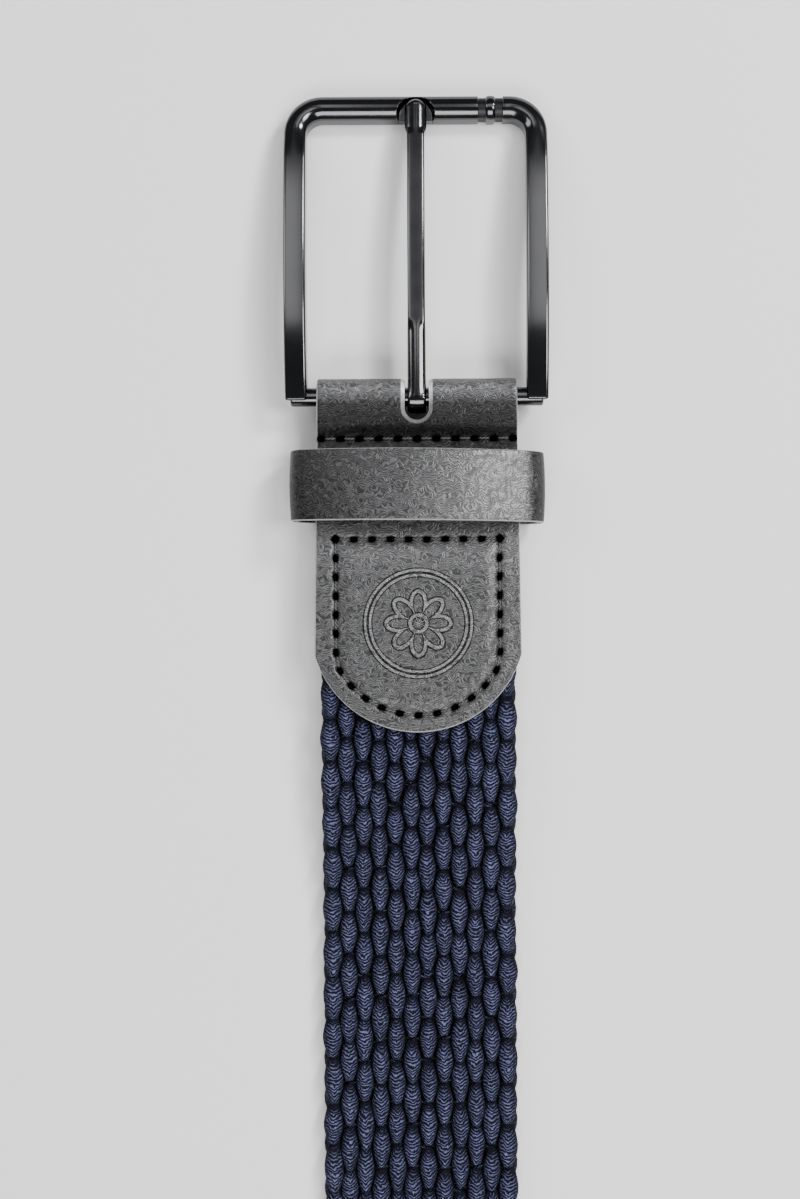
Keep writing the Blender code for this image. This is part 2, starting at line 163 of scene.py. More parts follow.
RING_PLACES = (0.0, 0.04, 0.08, 0.14, 0.28, 0.44, 0.6, 0.74, 0.86, 0.91, 0.96)
EDGE_RING_PLACES = (0.0, 0.1, 0.2, 0.3, 0.4)
EDGE_SWELL = 0.35 * MM  # how much wider a cord lies half way round an edge
EDGE_WIDENING = 0.1  # the stitches of the outermost columns are this much wider
DRAPE = 38 * MM  # the length in which the strap comes down from the leather to the floor
CHEVRON_PITCH = 0.62 * MM  # of the fine threads that each cord is plaited from
CHEVRON_RAKE = 2.1  # pitches that a thread runs from the cord's crest to its edge
CHEVRON_WOBBLE = 2.2  # how uneven they lie, in pitches
CHEVRON_RELIEF = 0.22 * MM
# Navy, from near-black painted shade to the painted highlight on the threads' crests
CORD_TONES = (
    (0.0, (0.0006, 0.0007, 0.002)),
    (0.3, (0.003, 0.0034, 0.013)),
    (1.0, (0.105, 0.112, 0.220)),
)
# Painted shade along a stitch: darkest at its head, where it comes up from under its neighbours
STITCH_SHADE = ((0.0, 0.2), (0.14, 0.6), (0.3, 1.0), (0.93, 1.0), (1.0, 0.6))
braid_low, braid_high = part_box("braid")
tab_low, tab_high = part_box("buckle_tab")
end_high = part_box("end_tab_back")[1]
FLAT_HALF = 1.7 * MM  # half of the band's thickness
END_MIDDLE = 3.3 * MM  # height of the band's middle in the end tab


def smooth(share):
    """0 to 1 with no kink at either end."""
    share = np.clip(share, 0, 1)
    return share * share * (3 - 2 * share)


def skin(name, rings, along=None, closed=False, caps="flat"):
    """A closed mesh over rings of points. A closed skin joins its last ring to its first. A flat cap is one
    face, and a strip cap joins the first half of an end ring to its second half. along is each ring's place
    for the UV map."""
    rings = np.asarray(rings, float)
    count, sides = rings.shape[:2]
    faces = []
    for i in range(count if closed else count - 1):
        here, there = i * sides, (i + 1) % count * sides
        for j in range(sides):
            after = (j + 1) % sides
            faces.append((here + j, here + after, there + after, there + j))
    walls = len(faces)
    if not closed:
        for start, step in ((0, -1), ((count - 1) * sides, 1)):
            if caps == "flat":
                faces.append([start + j for j in range(sides)][::step])
            else:
                for j in range(sides // 2 - 1):
                    quad = (start + j, start + j + 1, start + sides - 2 - j, start + sides - 1 - j)
                    faces.append(quad[::step])
    mesh = bpy.data.meshes.new(name)
    mesh.from_pydata(rings.reshape(-1, 3).tolist(), [], faces)
    if along is not None:
        uv = mesh.uv_layers.new(name="UVMap")
        spots = np.zeros((len(mesh.loops), 2))
        for i in range(walls):
            row, j = divmod(i, sides)
            u0, u1 = along[row], along[(row + 1) % count]
            v0, v1 = j / sides, (j + 1) / sides
            spots[4 * i : 4 * i + 4] = ((u0, v0), (u0, v1), (u1, v1), (u1, v0))
        uv.data.foreach_set("uv", spots.ravel())
    made = bpy.data.objects.new(name, mesh)
    bpy.context.scene.collection.objects.link(made)
    mesh.shade_smooth()
    return made


def point_outwards(piece):
    """Recalculates the normals, so that every face points out."""
    bpy.context.view_layer.objects.active = piece
    piece.select_set(True)
    bpy.ops.object.mode_set(mode="EDIT")
    bpy.ops.mesh.select_all(action="SELECT")
    bpy.ops.mesh.normals_make_consistent(inside=False)
    bpy.ops.object.mode_set(mode="OBJECT")
    piece.select_set(False)


def add_node(tree, kind, values=(), **settings):
    """A shader node with its settings, and its inputs given as (socket, value or the output linked to it)."""
    made = tree.nodes.new("ShaderNode" + kind)
    for key, value in settings.items():
        setattr(made, key, value)
    for key, value in values:
        if isinstance(value, bpy.types.NodeSocket):
            tree.links.new(value, made.inputs[key])
        else:
            made.inputs[key].default_value = value
    return made


def maths(tree, operation, *values, clamp=False):
    """The output of a Math node."""
    return add_node(tree, "Math", list(enumerate(values)), operation=operation, use_clamp=clamp).outputs[0]


def ramp(tree, factor, stops):
    """The colour output of a ramp with stops of (place, colour)."""
    made = add_node(tree, "ValToRGB", [("Fac", factor)])
    elements = made.color_ramp.elements
    while len(elements) < len(stops):
        elements.new(1.0)
    for element, (place, colour) in zip(elements, stops):
        element.position = place
        element.color = (*colour, 1)
    return made.outputs["Color"]


def grey_ramp(tree, factor, stops):
    """The same for greys, with stops of (place, tone)."""
    return ramp(tree, factor, [(place, (tone,) * 3) for place, tone in stops])


def own_places(tree):
    """The X, Y and Z outputs of the object's own coordinates."""
    place = add_node(tree, "TexCoord").outputs["Object"]
    return add_node(tree, "SeparateXYZ", [("Vector", place)]).outputs


def cord_places(tree):
    """The outputs of the place along a cord or thread and of the place round it, from its UV map."""
    uv = add_node(tree, "UVMap", uv_map="UVMap").outputs["UV"]
    return add_node(tree, "SeparateXYZ", [("Vector", uv)]).outputs[:2]


def noise(tree, scale, detail):
    """The output of a noise over the object's own coordinates."""
    values = [("Vector", add_node(tree, "TexCoord").outputs["Object"]), ("Scale", scale), ("Detail", detail)]
    return add_node(tree, "TexNoise", values).outputs["Fac"]


def emboss(tree, height, depth, under=()):
    """The normal of a height in relief, over another relief where under gives one."""
    bump = add_node(tree, "Bump", [("Height", height), ("Strength", 1.0), ("Distance", depth), *under])
    return bump.outputs["Normal"]


def new_material(name, roughness, metallic=0.0):
    """A material, its node tree and its Principled shader."""
    made = bpy.data.materials.new(name)
    made.use_nodes = True
    tree = made.node_tree
    shader = tree.nodes["Principled BSDF"]
    shader.inputs["Roughness"].default_value = roughness
    shader.inputs["Metallic"].default_value = metallic
    return made, tree, shader


def cord_material():
    """Navy cord, itself a fine plait whose threads lie in chevrons along it. A painted highlight lies on the
    threads' crests, with painted glints, and painted shade between them, at the cord's edges and at the head
    of each stitch.
    """
    made, tree, shader = new_material("navy_cord", 0.72)
    along, around = cord_places(tree)
    # 0 on the crest of each broad side of the cord, 1 at its edges
    off_crest = maths(tree, "PINGPONG", maths(tree, "ADD", around, 0.25), 0.25)
    off_crest = maths(tree, "MULTIPLY", off_crest, 4.0)
    wobble = maths(tree, "MULTIPLY", maths(tree, "SUBTRACT", noise(tree, 900.0, 2.0), 0.5), CHEVRON_WOBBLE)
    rungs = maths(tree, "DIVIDE", along, CHEVRON_PITCH)
    rungs = maths(tree, "ADD", rungs, maths(tree, "MULTIPLY", off_crest, CHEVRON_RAKE))
    rungs = maths(tree, "ADD", rungs, wobble)
    # The chevrons: each thread painted light on its crest as a highlight, and near-black between as shade
    crest = maths(tree, "ABSOLUTE", maths(tree, "SINE", maths(tree, "MULTIPLY", rungs, math.pi)))
    thread = maths(tree, "POWER", crest, 1.9)
    blotches = maths(tree, "MULTIPLY", noise(tree, 260.0, 3.0), 0.8)
    tone = maths(tree, "MULTIPLY", thread, maths(tree, "ADD", 0.55, blotches))
    # Painted shade: darker towards the cord's edges, where it meets its neighbours
    edge_shade = maths(tree, "MULTIPLY", off_crest, 0.7)
    tone = maths(tree, "MULTIPLY", tone, maths(tree, "SUBTRACT", 1.0, edge_shade))
    # Painted shade at the head of each stitch, where it comes up from under its neighbours
    share = maths(tree, "FRACT", maths(tree, "DIVIDE", along, STITCH))
    tone = maths(tree, "MULTIPLY", tone, grey_ramp(tree, share, STITCH_SHADE))
    # Painted glints: a fine noise breaks the threads' light into sparkles
    glints = maths(tree, "MULTIPLY", noise(tree, 2600.0, 1.0), 1.3)
    tone = maths(tree, "MULTIPLY", tone, maths(tree, "ADD", 0.35, glints))
    tree.links.new(ramp(tree, tone, CORD_TONES), shader.inputs["Base Color"])
    tree.links.new(emboss(tree, thread, CHEVRON_RELIEF), shader.inputs["Normal"])
    shader.inputs["Specular IOR Level"].default_value = 0.15
    return made


def strap_height(y):
    """Height of the strap's middle: it leaves the buckle tab, comes down to the floor and rises to the end
    tab."""
    resting = braid_low.z + FLAT_HALF
    down = smooth((tab_low.y - y) / DRAPE)
    up = smooth((end_high.y + DRAPE - y) / DRAPE)
    return BAR.z + (resting - BAR.z) * down + (END_MIDDLE - resting) * up


def crossings(phase):
    """(columns passed, side) after a phase in stitches since the cord turned in. The side is 1 on the face
    and -1 behind."""
    passed = np.zeros_like(phase)
    side = np.ones_like(phase)
    for crossing in range(1, COLUMNS):
        dives = crossing % 2 == 1
        middle = crossing + (CROSSING_DELAY if dives else -CROSSING_DELAY)
        share = smooth((phase - middle) / CROSSING + 0.5)
        passed += share
        side += share * (-2 if dives else 2)
    return passed, side


def cord_rings(cord, wander, slip):
    """The rings of one cord, and each ring's place along it."""
    place, half_width, lift, thickness = np.array(STITCH_FORM).T
    length = (braid_high.y - braid_low.y) / STITCH
    lap = COLUMNS + 0.5
    phases = []
    for half_turn in range(int((cord + length) / lap) + 2):
        start = half_turn * lap
        phases += [start + i + share for i in range(COLUMNS) for share in RING_PLACES]
        phases += [start + COLUMNS + share for share in EDGE_RING_PLACES]
    phases = np.array(phases)
    inside = phases[(phases > cord + 0.02) & (phases < cord + length - 0.02)]
    phases = np.concatenate([[cord], inside, [cord + length]])
    halves, phase = np.divmod(phases, lap)
    rightwards = halves % 2 == 0
    turning = phase > COLUMNS

    passed, side = crossings(np.minimum(phase, COLUMNS))
    share = np.where(turning, 1.0, np.minimum(phase, COLUMNS) % 1.0)
    width = np.interp(share, place, half_width)
    rise = np.interp(share, place, lift)
    depth = np.interp(share, place, thickness) * CORD_THICKNESS / 2
    # Round the edge the cord's form runs from the end of one stitch to the head of the next.
    round_edge = np.clip((phase - COLUMNS) / 0.5, 0, 1)
    eased = smooth(round_edge)
    width += turning * (half_width[0] - half_width[-1]) * eased
    width += turning * EDGE_SWELL * np.sin(np.pi * round_edge)
    rise += turning * (lift[0] - lift[-1]) * eased
    angle = np.where(turning, -np.pi / 2 + np.pi * eased, -np.pi / 2)
    height = np.where(turning, np.sin(angle), side) * (LAYER_HEIGHT + rise)
    out = np.where(turning, np.cos(angle), 0.0) * EDGE_TURN
    half_band = (COLUMNS - 1) / 2 * COLUMN_PITCH
    x = (passed * COLUMN_PITCH - half_band + out) * np.where(rightwards, 1, -1)
    x += np.interp(phases, np.arange(len(wander)), wander)
    width *= 1 + EDGE_WIDENING * smooth(np.abs(x) / COLUMN_PITCH - COLUMNS / 2 + 1.4)
    # The broad side turns over as the cord goes round the edge.
    tilt = np.where(rightwards, angle, -angle) + np.pi / 2

    y = braid_high.y - (phases - cord) * STITCH
    y = np.clip(y + np.interp(phases, np.arange(len(slip)), slip), braid_low.y, braid_high.y)
    z = strap_height(y) + height
    around = np.arange(CORD_SIDES) * 2 * np.pi / CORD_SIDES
    across = width[:, None] * np.cos(around)
    up = depth[:, None] * np.sin(around)
    rings = np.empty((len(phases), CORD_SIDES, 3))
    rings[:, :, 0] = x[:, None] + across * np.cos(tilt)[:, None] - up * np.sin(tilt)[:, None]
    rings[:, :, 1] = y[:, None]
    rings[:, :, 2] = z[:, None] + across * np.sin(tilt)[:, None] + up * np.cos(tilt)[:, None]
    return rings, (phase + halves * (COLUMNS + 1)) * STITCH


navy_cord = cord_material()
chance = np.random.default_rng(11)
stitches = int((braid_high.y - braid_low.y) / STITCH) + CORDS + 3
for cord in range(CORDS):
    wander = chance.normal(0, CORD_WANDER, stitches)
    slip = chance.normal(0, CORD_SLIP, stitches)
    strand = skin(f"cord_{cord + 1:02d}", *cord_rings(cord, wander, slip))
    strand.data.materials.append(navy_cord)
    point_outwards(strand)
    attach(strand, "strap")
    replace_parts(strand, "braid")

# The buckle tab
# One strip of black leather, 1.3 mm thick, is folded round the bar and runs back over and under the end of
# the braid. A seam behind the bar closes the fold, a sewn border holds the braid, and a ring and a rosette
# are pressed into it.
LEATHER = 1.3 * MM
LAYER_MIDDLE = 2.65 * MM  # from the strap's middle to the middle of either layer of leather
TAB_HALF_AT_FOLD = 18.1 * MM
TAB_HALF_AT_CORNERS = tab_high.x
TAB_CORNERS = 46.7 * MM  # behind the bar
TAB_TIP = BAR.y - tab_low.y
ROWS_CURVE_FROM = 12 * MM  # behind the bar, where the sheet's rows start to follow the tongue's curve
SEAM = 7.8 * MM  # behind the bar
SEAM_DIP = 1.5 * MM  # how far the seam draws each layer in
SEAM_DIP_HALF_WIDTH = 3.2 * MM
SLOT_HALF_WIDTH = 2.2 * MM
SLOT_TURN = 2.3 * MM  # the middle of the slot's round end, behind the bar
# The rim round the slot is painted light grey: rubbed leather, with a painted highlight
SLOT_RIM = 0.75 * MM  # width of the rubbed rim round it
RIM_STEPS = (0.0, 0.05 * MM, 0.12 * MM, 0.22 * MM, 0.36 * MM)  # of a sheet's columns and rows, from its edges
RIM_ROUND = 0.36 * MM
GRID, BACK_GRID = 0.31 * MM, 0.9 * MM  # between the sheet's rows on the face and on the back
BORDER_HALF_WIDTH = 14.8 * MM
BORDER_TOP = 26.0 * MM  # behind the bar
BORDER_ARC = 16.3 * MM  # radius of the border's round end
SEAM_HALF_LENGTH = 17.4 * MM
TONGUE_RADIUS = (TAB_HALF_AT_CORNERS**2 + (TAB_TIP - TAB_CORNERS) ** 2) / (2 * (TAB_TIP - TAB_CORNERS))
TONGUE_CENTRE = TAB_TIP - TONGUE_RADIUS
PITCH = 3.42 * MM  # of the stitches
HOLE_LONG, HOLE_WIDE = 0.85 * MM, 0.5 * MM
HOLE_DEPTH = 0.75 * MM
PAD_RISE, PAD_SLOPE = 0.5 * MM, 2.6 * MM  # how the braid swells the leather inside the border
FURROW_DEPTH, FURROW_WIDTH = 0.3 * MM, 0.55 * MM  # along the row of stitches
RIM_FALL, RIM_SLOPE = 0.25 * MM, 3.0 * MM  # outside the border
LOOP_RISE, LOOP_SLOPE = 0.22 * MM, 9 * MM  # the leather is a little higher under the keeper loop
LOOP_END = 24 * MM  # behind the bar
SLOT_SINK = 0.4 * MM  # how far the slot's rim is pressed in
RING_PLACE = (0.1 * MM, 41.2 * MM)  # right of the middle, behind the bar
RING_EDGES = (8.7 * MM, 9.6 * MM)
PRESSED_RELIEF = 0.28 * MM
PETALS = 8
PETAL_RADIUS = (3.3 * MM, 2.5 * MM)  # between the petals, and how much further out at their tips
HEART_RADIUS = 1.5 * MM
LINE_WIDTH = 0.5 * MM
WRINKLE_PITCH = 0.085 * MM  # divided by two pi
WRINKLE_WINDING = 52.0  # how far the wrinkles wander, in radians
GRAIN_RELIEF = 0.055 * MM
# The light grey of the rounded rims and the slot's rim: a painted highlight
RIM_HIGHLIGHT_GREY = (0.36, 0.36, 0.36)
LEATHER_TONES = (0.010, 0.010, 0.0103), (0.100, 0.100, 0.103)
# Half of the tone at a share of the pressed lines' height: painted shadow at their foot, painted highlight on
# top
PRESSED_LIGHT_AND_SHADE = ((0.0, 0.5), (0.12, 0.22), (0.6, 0.12), (0.8, 0.7), (1.0, 1.0))
TAB_LIGHT_AND_SHADE = (
    # place along Y, half of the tone: painted highlight on the fold, painted shade in the seam and by the
    # loop
    (BAR.y - 61 * MM, 0.46),
    (BAR.y - 45 * MM, 0.48),
    (BAR.y - 33 * MM, 0.50),
    (BAR.y - 28 * MM, 0.66),
    (BAR.y - 23 * MM, 0.36),
    (BAR.y - 10 * MM, 0.30),
    (BAR.y - 7.8 * MM, 0.14),
    (BAR.y - 5 * MM, 0.14),
    (BAR.y - 1.5 * MM, 0.21),
    (BAR.y + 0.2 * MM, 0.60),
    (BAR.y + 1.2 * MM, 1.00),
    (BAR.y + 2.2 * MM, 0.80),
    (BAR.y + 3.3 * MM, 0.25),
)
PLAIN = ((-0.1, 0.5), (0.1, 0.5))


def evenly(path, pitch):
    """Points at even steps, of about the pitch, along a line of points."""
    path = np.array(path)
    along = np.concatenate([[0], np.cumsum(np.hypot(*np.diff(path, axis=0).T))])
    stops = np.linspace(0, along[-1], round(along[-1] / pitch) + 1)
    return np.column_stack([np.interp(stops, along, path[:, 0]), np.interp(stops, along, path[:, 1])])


def border_line(radius, centre, half_width, top):
    """The U of a sewn border as points (x, behind), from one end of its straight row round to the other."""
    turn = math.acos(math.sqrt(radius**2 - half_width**2) / radius)
    turns = np.linspace(-turn, turn, 60)
    round_end = np.column_stack([radius * np.sin(turns), centre + radius * np.cos(turns)])
    return np.vstack([(-half_width, top), round_end, (half_width, top)])


seam_holes = evenly([(-SEAM_HALF_LENGTH, SEAM), (SEAM_HALF_LENGTH, SEAM)], PITCH)
border_row = evenly([(-BORDER_HALF_WIDTH, BORDER_TOP), (BORDER_HALF_WIDTH, BORDER_TOP)], PITCH)
border_u = evenly(border_line(BORDER_ARC, TONGUE_CENTRE, BORDER_HALF_WIDTH, BORDER_TOP), PITCH)
tab_rows = (seam_holes, border_row, border_u)


def dip(behind):
    """How far the seam draws each layer in."""
    share = np.clip((behind - SEAM) / SEAM_DIP_HALF_WIDTH, -1, 1)
    return SEAM_DIP * np.cos(share * np.pi / 2) ** 2


def hollows(x, behind, rows):
    """1 in the middle of a stitch hole and 0 away from it. Each hole is an oval along its row."""
    deep = np.zeros_like(x)
    for row in rows:
        for (hole_x, hole_behind), (run_x, run_behind) in zip(row, np.gradient(row, axis=0)):
            run = math.hypot(run_x, run_behind)
            along = ((x - hole_x) * run_x + (behind - hole_behind) * run_behind) / run
            aside = ((x - hole_x) * run_behind - (behind - hole_behind) * run_x) / run
            deep = np.maximum(deep, np.exp(-(((along / HOLE_LONG) ** 2 + (aside / HOLE_WIDE) ** 2) ** 2)))
    return deep


def tab_relief(x, behind):
    """Height over the plain leather, on the face."""
    past = np.maximum(behind - TONGUE_CENTRE, 0)
    inside = np.minimum(BORDER_ARC - np.hypot(x, past), BORDER_HALF_WIDTH - np.abs(x))
    inside = np.minimum(inside, behind - BORDER_TOP)
    height = PAD_RISE * smooth(inside / PAD_SLOPE) - FURROW_DEPTH * np.exp(-((inside / FURROW_WIDTH) ** 2))
    height -= RIM_FALL * smooth(-inside / RIM_SLOPE)
    height -= HOLE_DEPTH * hollows(x, behind, tab_rows)
    height += LOOP_RISE * smooth((LOOP_END - behind) / LOOP_SLOPE)
    slot = np.hypot(x, np.maximum(behind - SLOT_TURN, 0)) - SLOT_HALF_WIDTH
    return height - SLOT_SINK * (1 - smooth(slot / SLOT_RIM)) * (behind < ROWS_CURVE_FROM)


def rounding(from_edge):
    """Share of the leather's thickness left at a distance from its cut edge."""
    share = np.clip(from_edge / RIM_ROUND, 0, 1)
    return 0.5 + 0.5 * np.sqrt(1 - (1 - share) ** 2)


def between(low, high, step):
    """Places from low to high, both included, in even steps of about the given length."""
    return np.linspace(low, high, max(2, round(abs(high - low) / step) + 1))


def rimmed(low, high, step):
    """The same, with closer steps by both ends."""
    steps = np.array(RIM_STEPS)
    middle = between(low + steps[-1], high - steps[-1], step)
    return np.concatenate([low + steps[:-1], middle, high - steps[-2::-1]])


def sheet(name, outer, inner, rows, ends, face_leather):
    """A closed sheet of leather between two grids of points. Its rims have the second material, a painted
    highlight, and so have as many rows at its first and last end as ends says. Its cut walls have the third."""
    made = skin(name, np.concatenate([outer, inner[:, ::-1]], axis=1), caps="strip")
    count, columns = outer.shape[:2]
    sides = 2 * columns
    index = np.full(len(made.data.polygons), 2)
    place = np.arange((count - 1) * sides) % sides
    row = np.arange((count - 1) * sides) // sides
    rim = (place < 3) | (np.abs(place - columns + 1) < 3) | (place > sides - 3)
    rim |= (row < ends[0]) | (row >= count - 1 - ends[1])
    index[: len(place)] = np.where(place % columns == columns - 1, 2, rim)
    for layer in (face_leather, rim_highlight, leather_cut):
        made.data.materials.append(layer)
    made.data.polygons.foreach_set("material_index", index)
    spots = np.array([vertex.co for vertex in made.data.vertices])
    face = (np.arange(len(spots)) % sides) < columns
    # A mask of the face's stitch holes, for the painted shade in them
    dark = made.data.attributes.new("hollow", "FLOAT", "POINT")
    dark.data.foreach_set("value", hollows(spots[:, 0], BAR.y - spots[:, 1], rows) * face)
    return made


def new_group(name, *outputs):
    """A node group with some float outputs, and its output node."""
    group = bpy.data.node_groups.new(name, "ShaderNodeTree")
    for output in outputs:
        group.interface.new_socket(output, in_out="OUTPUT", socket_type="NodeSocketFloat")
    return group, group.nodes.new("NodeGroupOutput")


def leather_grain():
    """A node group: winding wrinkles and pores, as a height and as a slow variation of tone."""
    group, result = new_group("leather_grain", "Height", "Tone")
    turns = maths(group, "DIVIDE", own_places(group)["Y"], WRINKLE_PITCH)
    drift = maths(group, "MULTIPLY", noise(group, 520.0, 1.0), WRINKLE_WINDING)
    turns = maths(group, "ADD", turns, drift)
    ridge = maths(group, "ADD", 0.5, maths(group, "MULTIPLY", maths(group, "SINE", turns), 0.5))
    breaks = maths(group, "SUBTRACT", noise(group, 1100.0, 1.0), 0.05)
    ridge = maths(group, "MULTIPLY", ridge, maths(group, "MULTIPLY", breaks, 1.6, clamp=True))
    pores = maths(group, "MULTIPLY", noise(group, 3800.0, 2.0), 0.4)
    group.links.new(maths(group, "ADD", ridge, pores), result.inputs["Height"])
    group.links.new(noise(group, 120.0, 3.0), result.inputs["Tone"])
    return group


grain_group = leather_grain()


def pressed_marks():
    """A node group for the buckle tab's face: the height of the pressed ring and rosette, and a mask of the
    slot's rubbed rim, which is painted light grey as a highlight."""
    group, result = new_group("pressed_marks", "Height", "Rim")
    x, y, z = own_places(group)
    face = maths(group, "GREATER_THAN", z, BAR.z + 0.5 * MM)

    def length(*legs):
        squares = [maths(group, "POWER", leg, 2.0) for leg in legs]
        return maths(group, "SQRT", maths(group, "ADD", *squares))

    def line(distance, width):
        off = maths(group, "DIVIDE", maths(group, "ABSOLUTE", distance), width / 2)
        return maths(group, "MULTIPLY", maths(group, "SUBTRACT", 2.3, off), 1 / 1.3, clamp=True)

    across = maths(group, "SUBTRACT", x, RING_PLACE[0])
    along = maths(group, "SUBTRACT", y, BAR.y - RING_PLACE[1])
    radius = length(across, along)
    turn = maths(group, "MULTIPLY", maths(group, "ARCTAN2", along, across), PETALS / 2)
    petal = maths(group, "MULTIPLY", maths(group, "ABSOLUTE", maths(group, "COSINE", turn)), PETAL_RADIUS[1])
    steep = maths(group, "MULTIPLY", maths(group, "SINE", turn), PETAL_RADIUS[1] * PETALS / 2)
    steep = length(maths(group, "DIVIDE", steep, radius), 1.0)
    off_petal = maths(group, "SUBTRACT", radius, maths(group, "ADD", petal, PETAL_RADIUS[0]))
    marks = [line(maths(group, "SUBTRACT", radius, edge), LINE_WIDTH * 0.8) for edge in RING_EDGES]
    marks.append(line(maths(group, "DIVIDE", off_petal, steep), LINE_WIDTH))
    marks.append(line(maths(group, "SUBTRACT", radius, HEART_RADIUS), LINE_WIDTH))
    height = marks[0]
    for mark in marks[1:]:
        height = maths(group, "MAXIMUM", height, mark)
    past_turn = maths(group, "MAXIMUM", maths(group, "SUBTRACT", BAR.y - SLOT_TURN, y), 0.0)
    from_slot = maths(group, "SUBTRACT", length(x, past_turn), SLOT_HALF_WIDTH)
    rim = maths(group, "MULTIPLY", maths(group, "SUBTRACT", SLOT_RIM, from_slot), 1 / (0.2 * MM), clamp=True)
    group.links.new(maths(group, "MULTIPLY", height, face), result.inputs["Height"])
    group.links.new(maths(group, "MULTIPLY", rim, face), result.inputs["Rim"])
    return group


def leather_material(name, dark, light, roughness, relief, axis, painted_light, marks=None):
    """Leather between two tones, with the grain in relief, painted shade in the stitch holes and, on the
    tab, the pressed marks, with a painted shadow at their foot and a painted highlight on top.
    The ramp after the axis gives half of the tone at places along that axis: a painted highlight and shade,
    which make shine and colour brighter or darker."""
    made, tree, shader = new_material(name, roughness)
    grain = add_node(tree, "Group", node_tree=grain_group)
    height = grain.outputs["Height"]
    tone = maths(tree, "MULTIPLY", grain.outputs["Tone"], 0.1)
    tone = maths(tree, "ADD", tone, maths(tree, "MULTIPLY", height, 0.6))
    colour = ramp(tree, tone, ((0.1, dark), (0.8, light)))
    # Painted highlight and shade along the axis
    first, last = painted_light[0][0], painted_light[-1][0]
    share = maths(tree, "DIVIDE", maths(tree, "SUBTRACT", own_places(tree)[axis], first), last - first)
    level = grey_ramp(tree, share, [((stop - first) / (last - first), half) for stop, half in painted_light])
    level = maths(tree, "MULTIPLY", level, 2.0)
    under = []
    if marks:
        pressed = add_node(tree, "Group", node_tree=marks)
        # The slot's rubbed rim is painted light grey, a painted highlight
        mixed = [(0, pressed.outputs["Rim"]), (6, colour), (7, (*RIM_HIGHLIGHT_GREY, 1))]
        colour = add_node(tree, "Mix", mixed, data_type="RGBA").outputs[2]
        under = [("Normal", emboss(tree, pressed.outputs["Height"], PRESSED_RELIEF))]
        # Painted shadow at the foot of the pressed lines and a painted highlight on their tops
        rubbed = grey_ramp(tree, pressed.outputs["Height"], PRESSED_LIGHT_AND_SHADE)
        level = maths(tree, "MULTIPLY", level, maths(tree, "MULTIPLY", rubbed, 2.0))
    # Painted shade in the stitch holes: colour and shine go black there
    hole = add_node(tree, "Attribute", attribute_name="hollow").outputs["Fac"]
    hole_shade = maths(tree, "SUBTRACT", 1.0, maths(tree, "MULTIPLY", hole, 2.2, clamp=True))
    level = maths(tree, "MULTIPLY", level, hole_shade)
    shade = add_node(tree, "VectorMath", [(0, colour), ("Scale", level)], operation="SCALE")
    tree.links.new(shade.outputs[0], shader.inputs["Base Color"])
    tree.links.new(maths(tree, "MULTIPLY", level, 0.5), shader.inputs["Specular IOR Level"])
    tree.links.new(emboss(tree, height, relief, under), shader.inputs["Normal"])
    return made


SOFT_BLACK = (*LEATHER_TONES, 0.34, GRAIN_RELIEF)
tab_leather = leather_material("tab_leather", *SOFT_BLACK, "Y", TAB_LIGHT_AND_SHADE, pressed_marks())
black_leather = leather_material("black_leather", *SOFT_BLACK, "X", PLAIN)
# The rounded rims of every cut edge are painted light grey: a painted highlight
rim_highlight = leather_material("rim_highlight", (0.24,) * 3, RIM_HIGHLIGHT_GREY, 0.45, 0.02 * MM, "X", PLAIN)
leather_cut = leather_material("leather_cut", (0.03,) * 3, (0.07,) * 3, 0.6, 0.03 * MM, "X", PLAIN)

tab_columns = rimmed(-TAB_HALF_AT_CORNERS, TAB_HALF_AT_CORNERS, GRID) / TAB_HALF_AT_CORNERS
tongue_depth = np.sqrt(TONGUE_RADIUS**2 - (tab_columns * TAB_HALF_AT_CORNERS) ** 2)
tongue_depth -= TAB_CORNERS - TONGUE_CENTRE


def tab_layer(edge_rows, side):
    """Grids of the outer and inner points of one layer, from each row's place at the tab's side edges."""
    edge_rows = edge_rows[:, None]
    half = TAB_HALF_AT_FOLD + (TAB_HALF_AT_CORNERS - TAB_HALF_AT_FOLD) * edge_rows / TAB_CORNERS
    x = tab_columns * half
    curved = smooth((edge_rows - ROWS_CURVE_FROM) / (TAB_CORNERS - ROWS_CURVE_FROM))
    behind = edge_rows + tongue_depth * curved
    from_tip = TONGUE_RADIUS - np.hypot(x, np.maximum(behind - TONGUE_CENTRE, 0))
    thick = LEATHER / 2 * rounding(np.minimum(half * (1 - np.abs(tab_columns)), from_tip))
    middle = BAR.z + side * (LAYER_MIDDLE - dip(behind))
    relief = tab_relief(x, behind) if side > 0 else 0
    outer = np.stack([x, BAR.y - behind, middle + side * thick + relief], axis=2)
    inner = np.stack([x, BAR.y - behind, middle - side * thick], axis=2)
    return outer, inner


tip_rows = TAB_CORNERS - np.array(RIM_STEPS)
face_outer, face_inner = tab_layer(np.concatenate([tip_rows[:-1], between(tip_rows[-1], 0, GRID)]), 1)
back_rows = np.concatenate([between(0, tip_rows[-1], BACK_GRID), tip_rows[-2::-1]])
back_outer, back_inner = tab_layer(back_rows, -1)
fold_turns = np.radians(np.linspace(90, -90, 26)[1:-1])[:, None]
fold_x = tab_columns * TAB_HALF_AT_FOLD + 0 * fold_turns
fold_thick = LEATHER / 2 * rounding(TAB_HALF_AT_FOLD * (1 - np.abs(tab_columns)))
worn = SLOT_SINK * (1 - smooth((np.abs(fold_x) - SLOT_HALF_WIDTH) / SLOT_RIM))
fold_outer, fold_inner = (
    np.stack([fold_x, BAR.y + radius * np.cos(fold_turns), BAR.z + radius * np.sin(fold_turns)], axis=2)
    for radius in (LAYER_MIDDLE + fold_thick - worn, LAYER_MIDDLE - fold_thick + 0 * fold_turns)
)
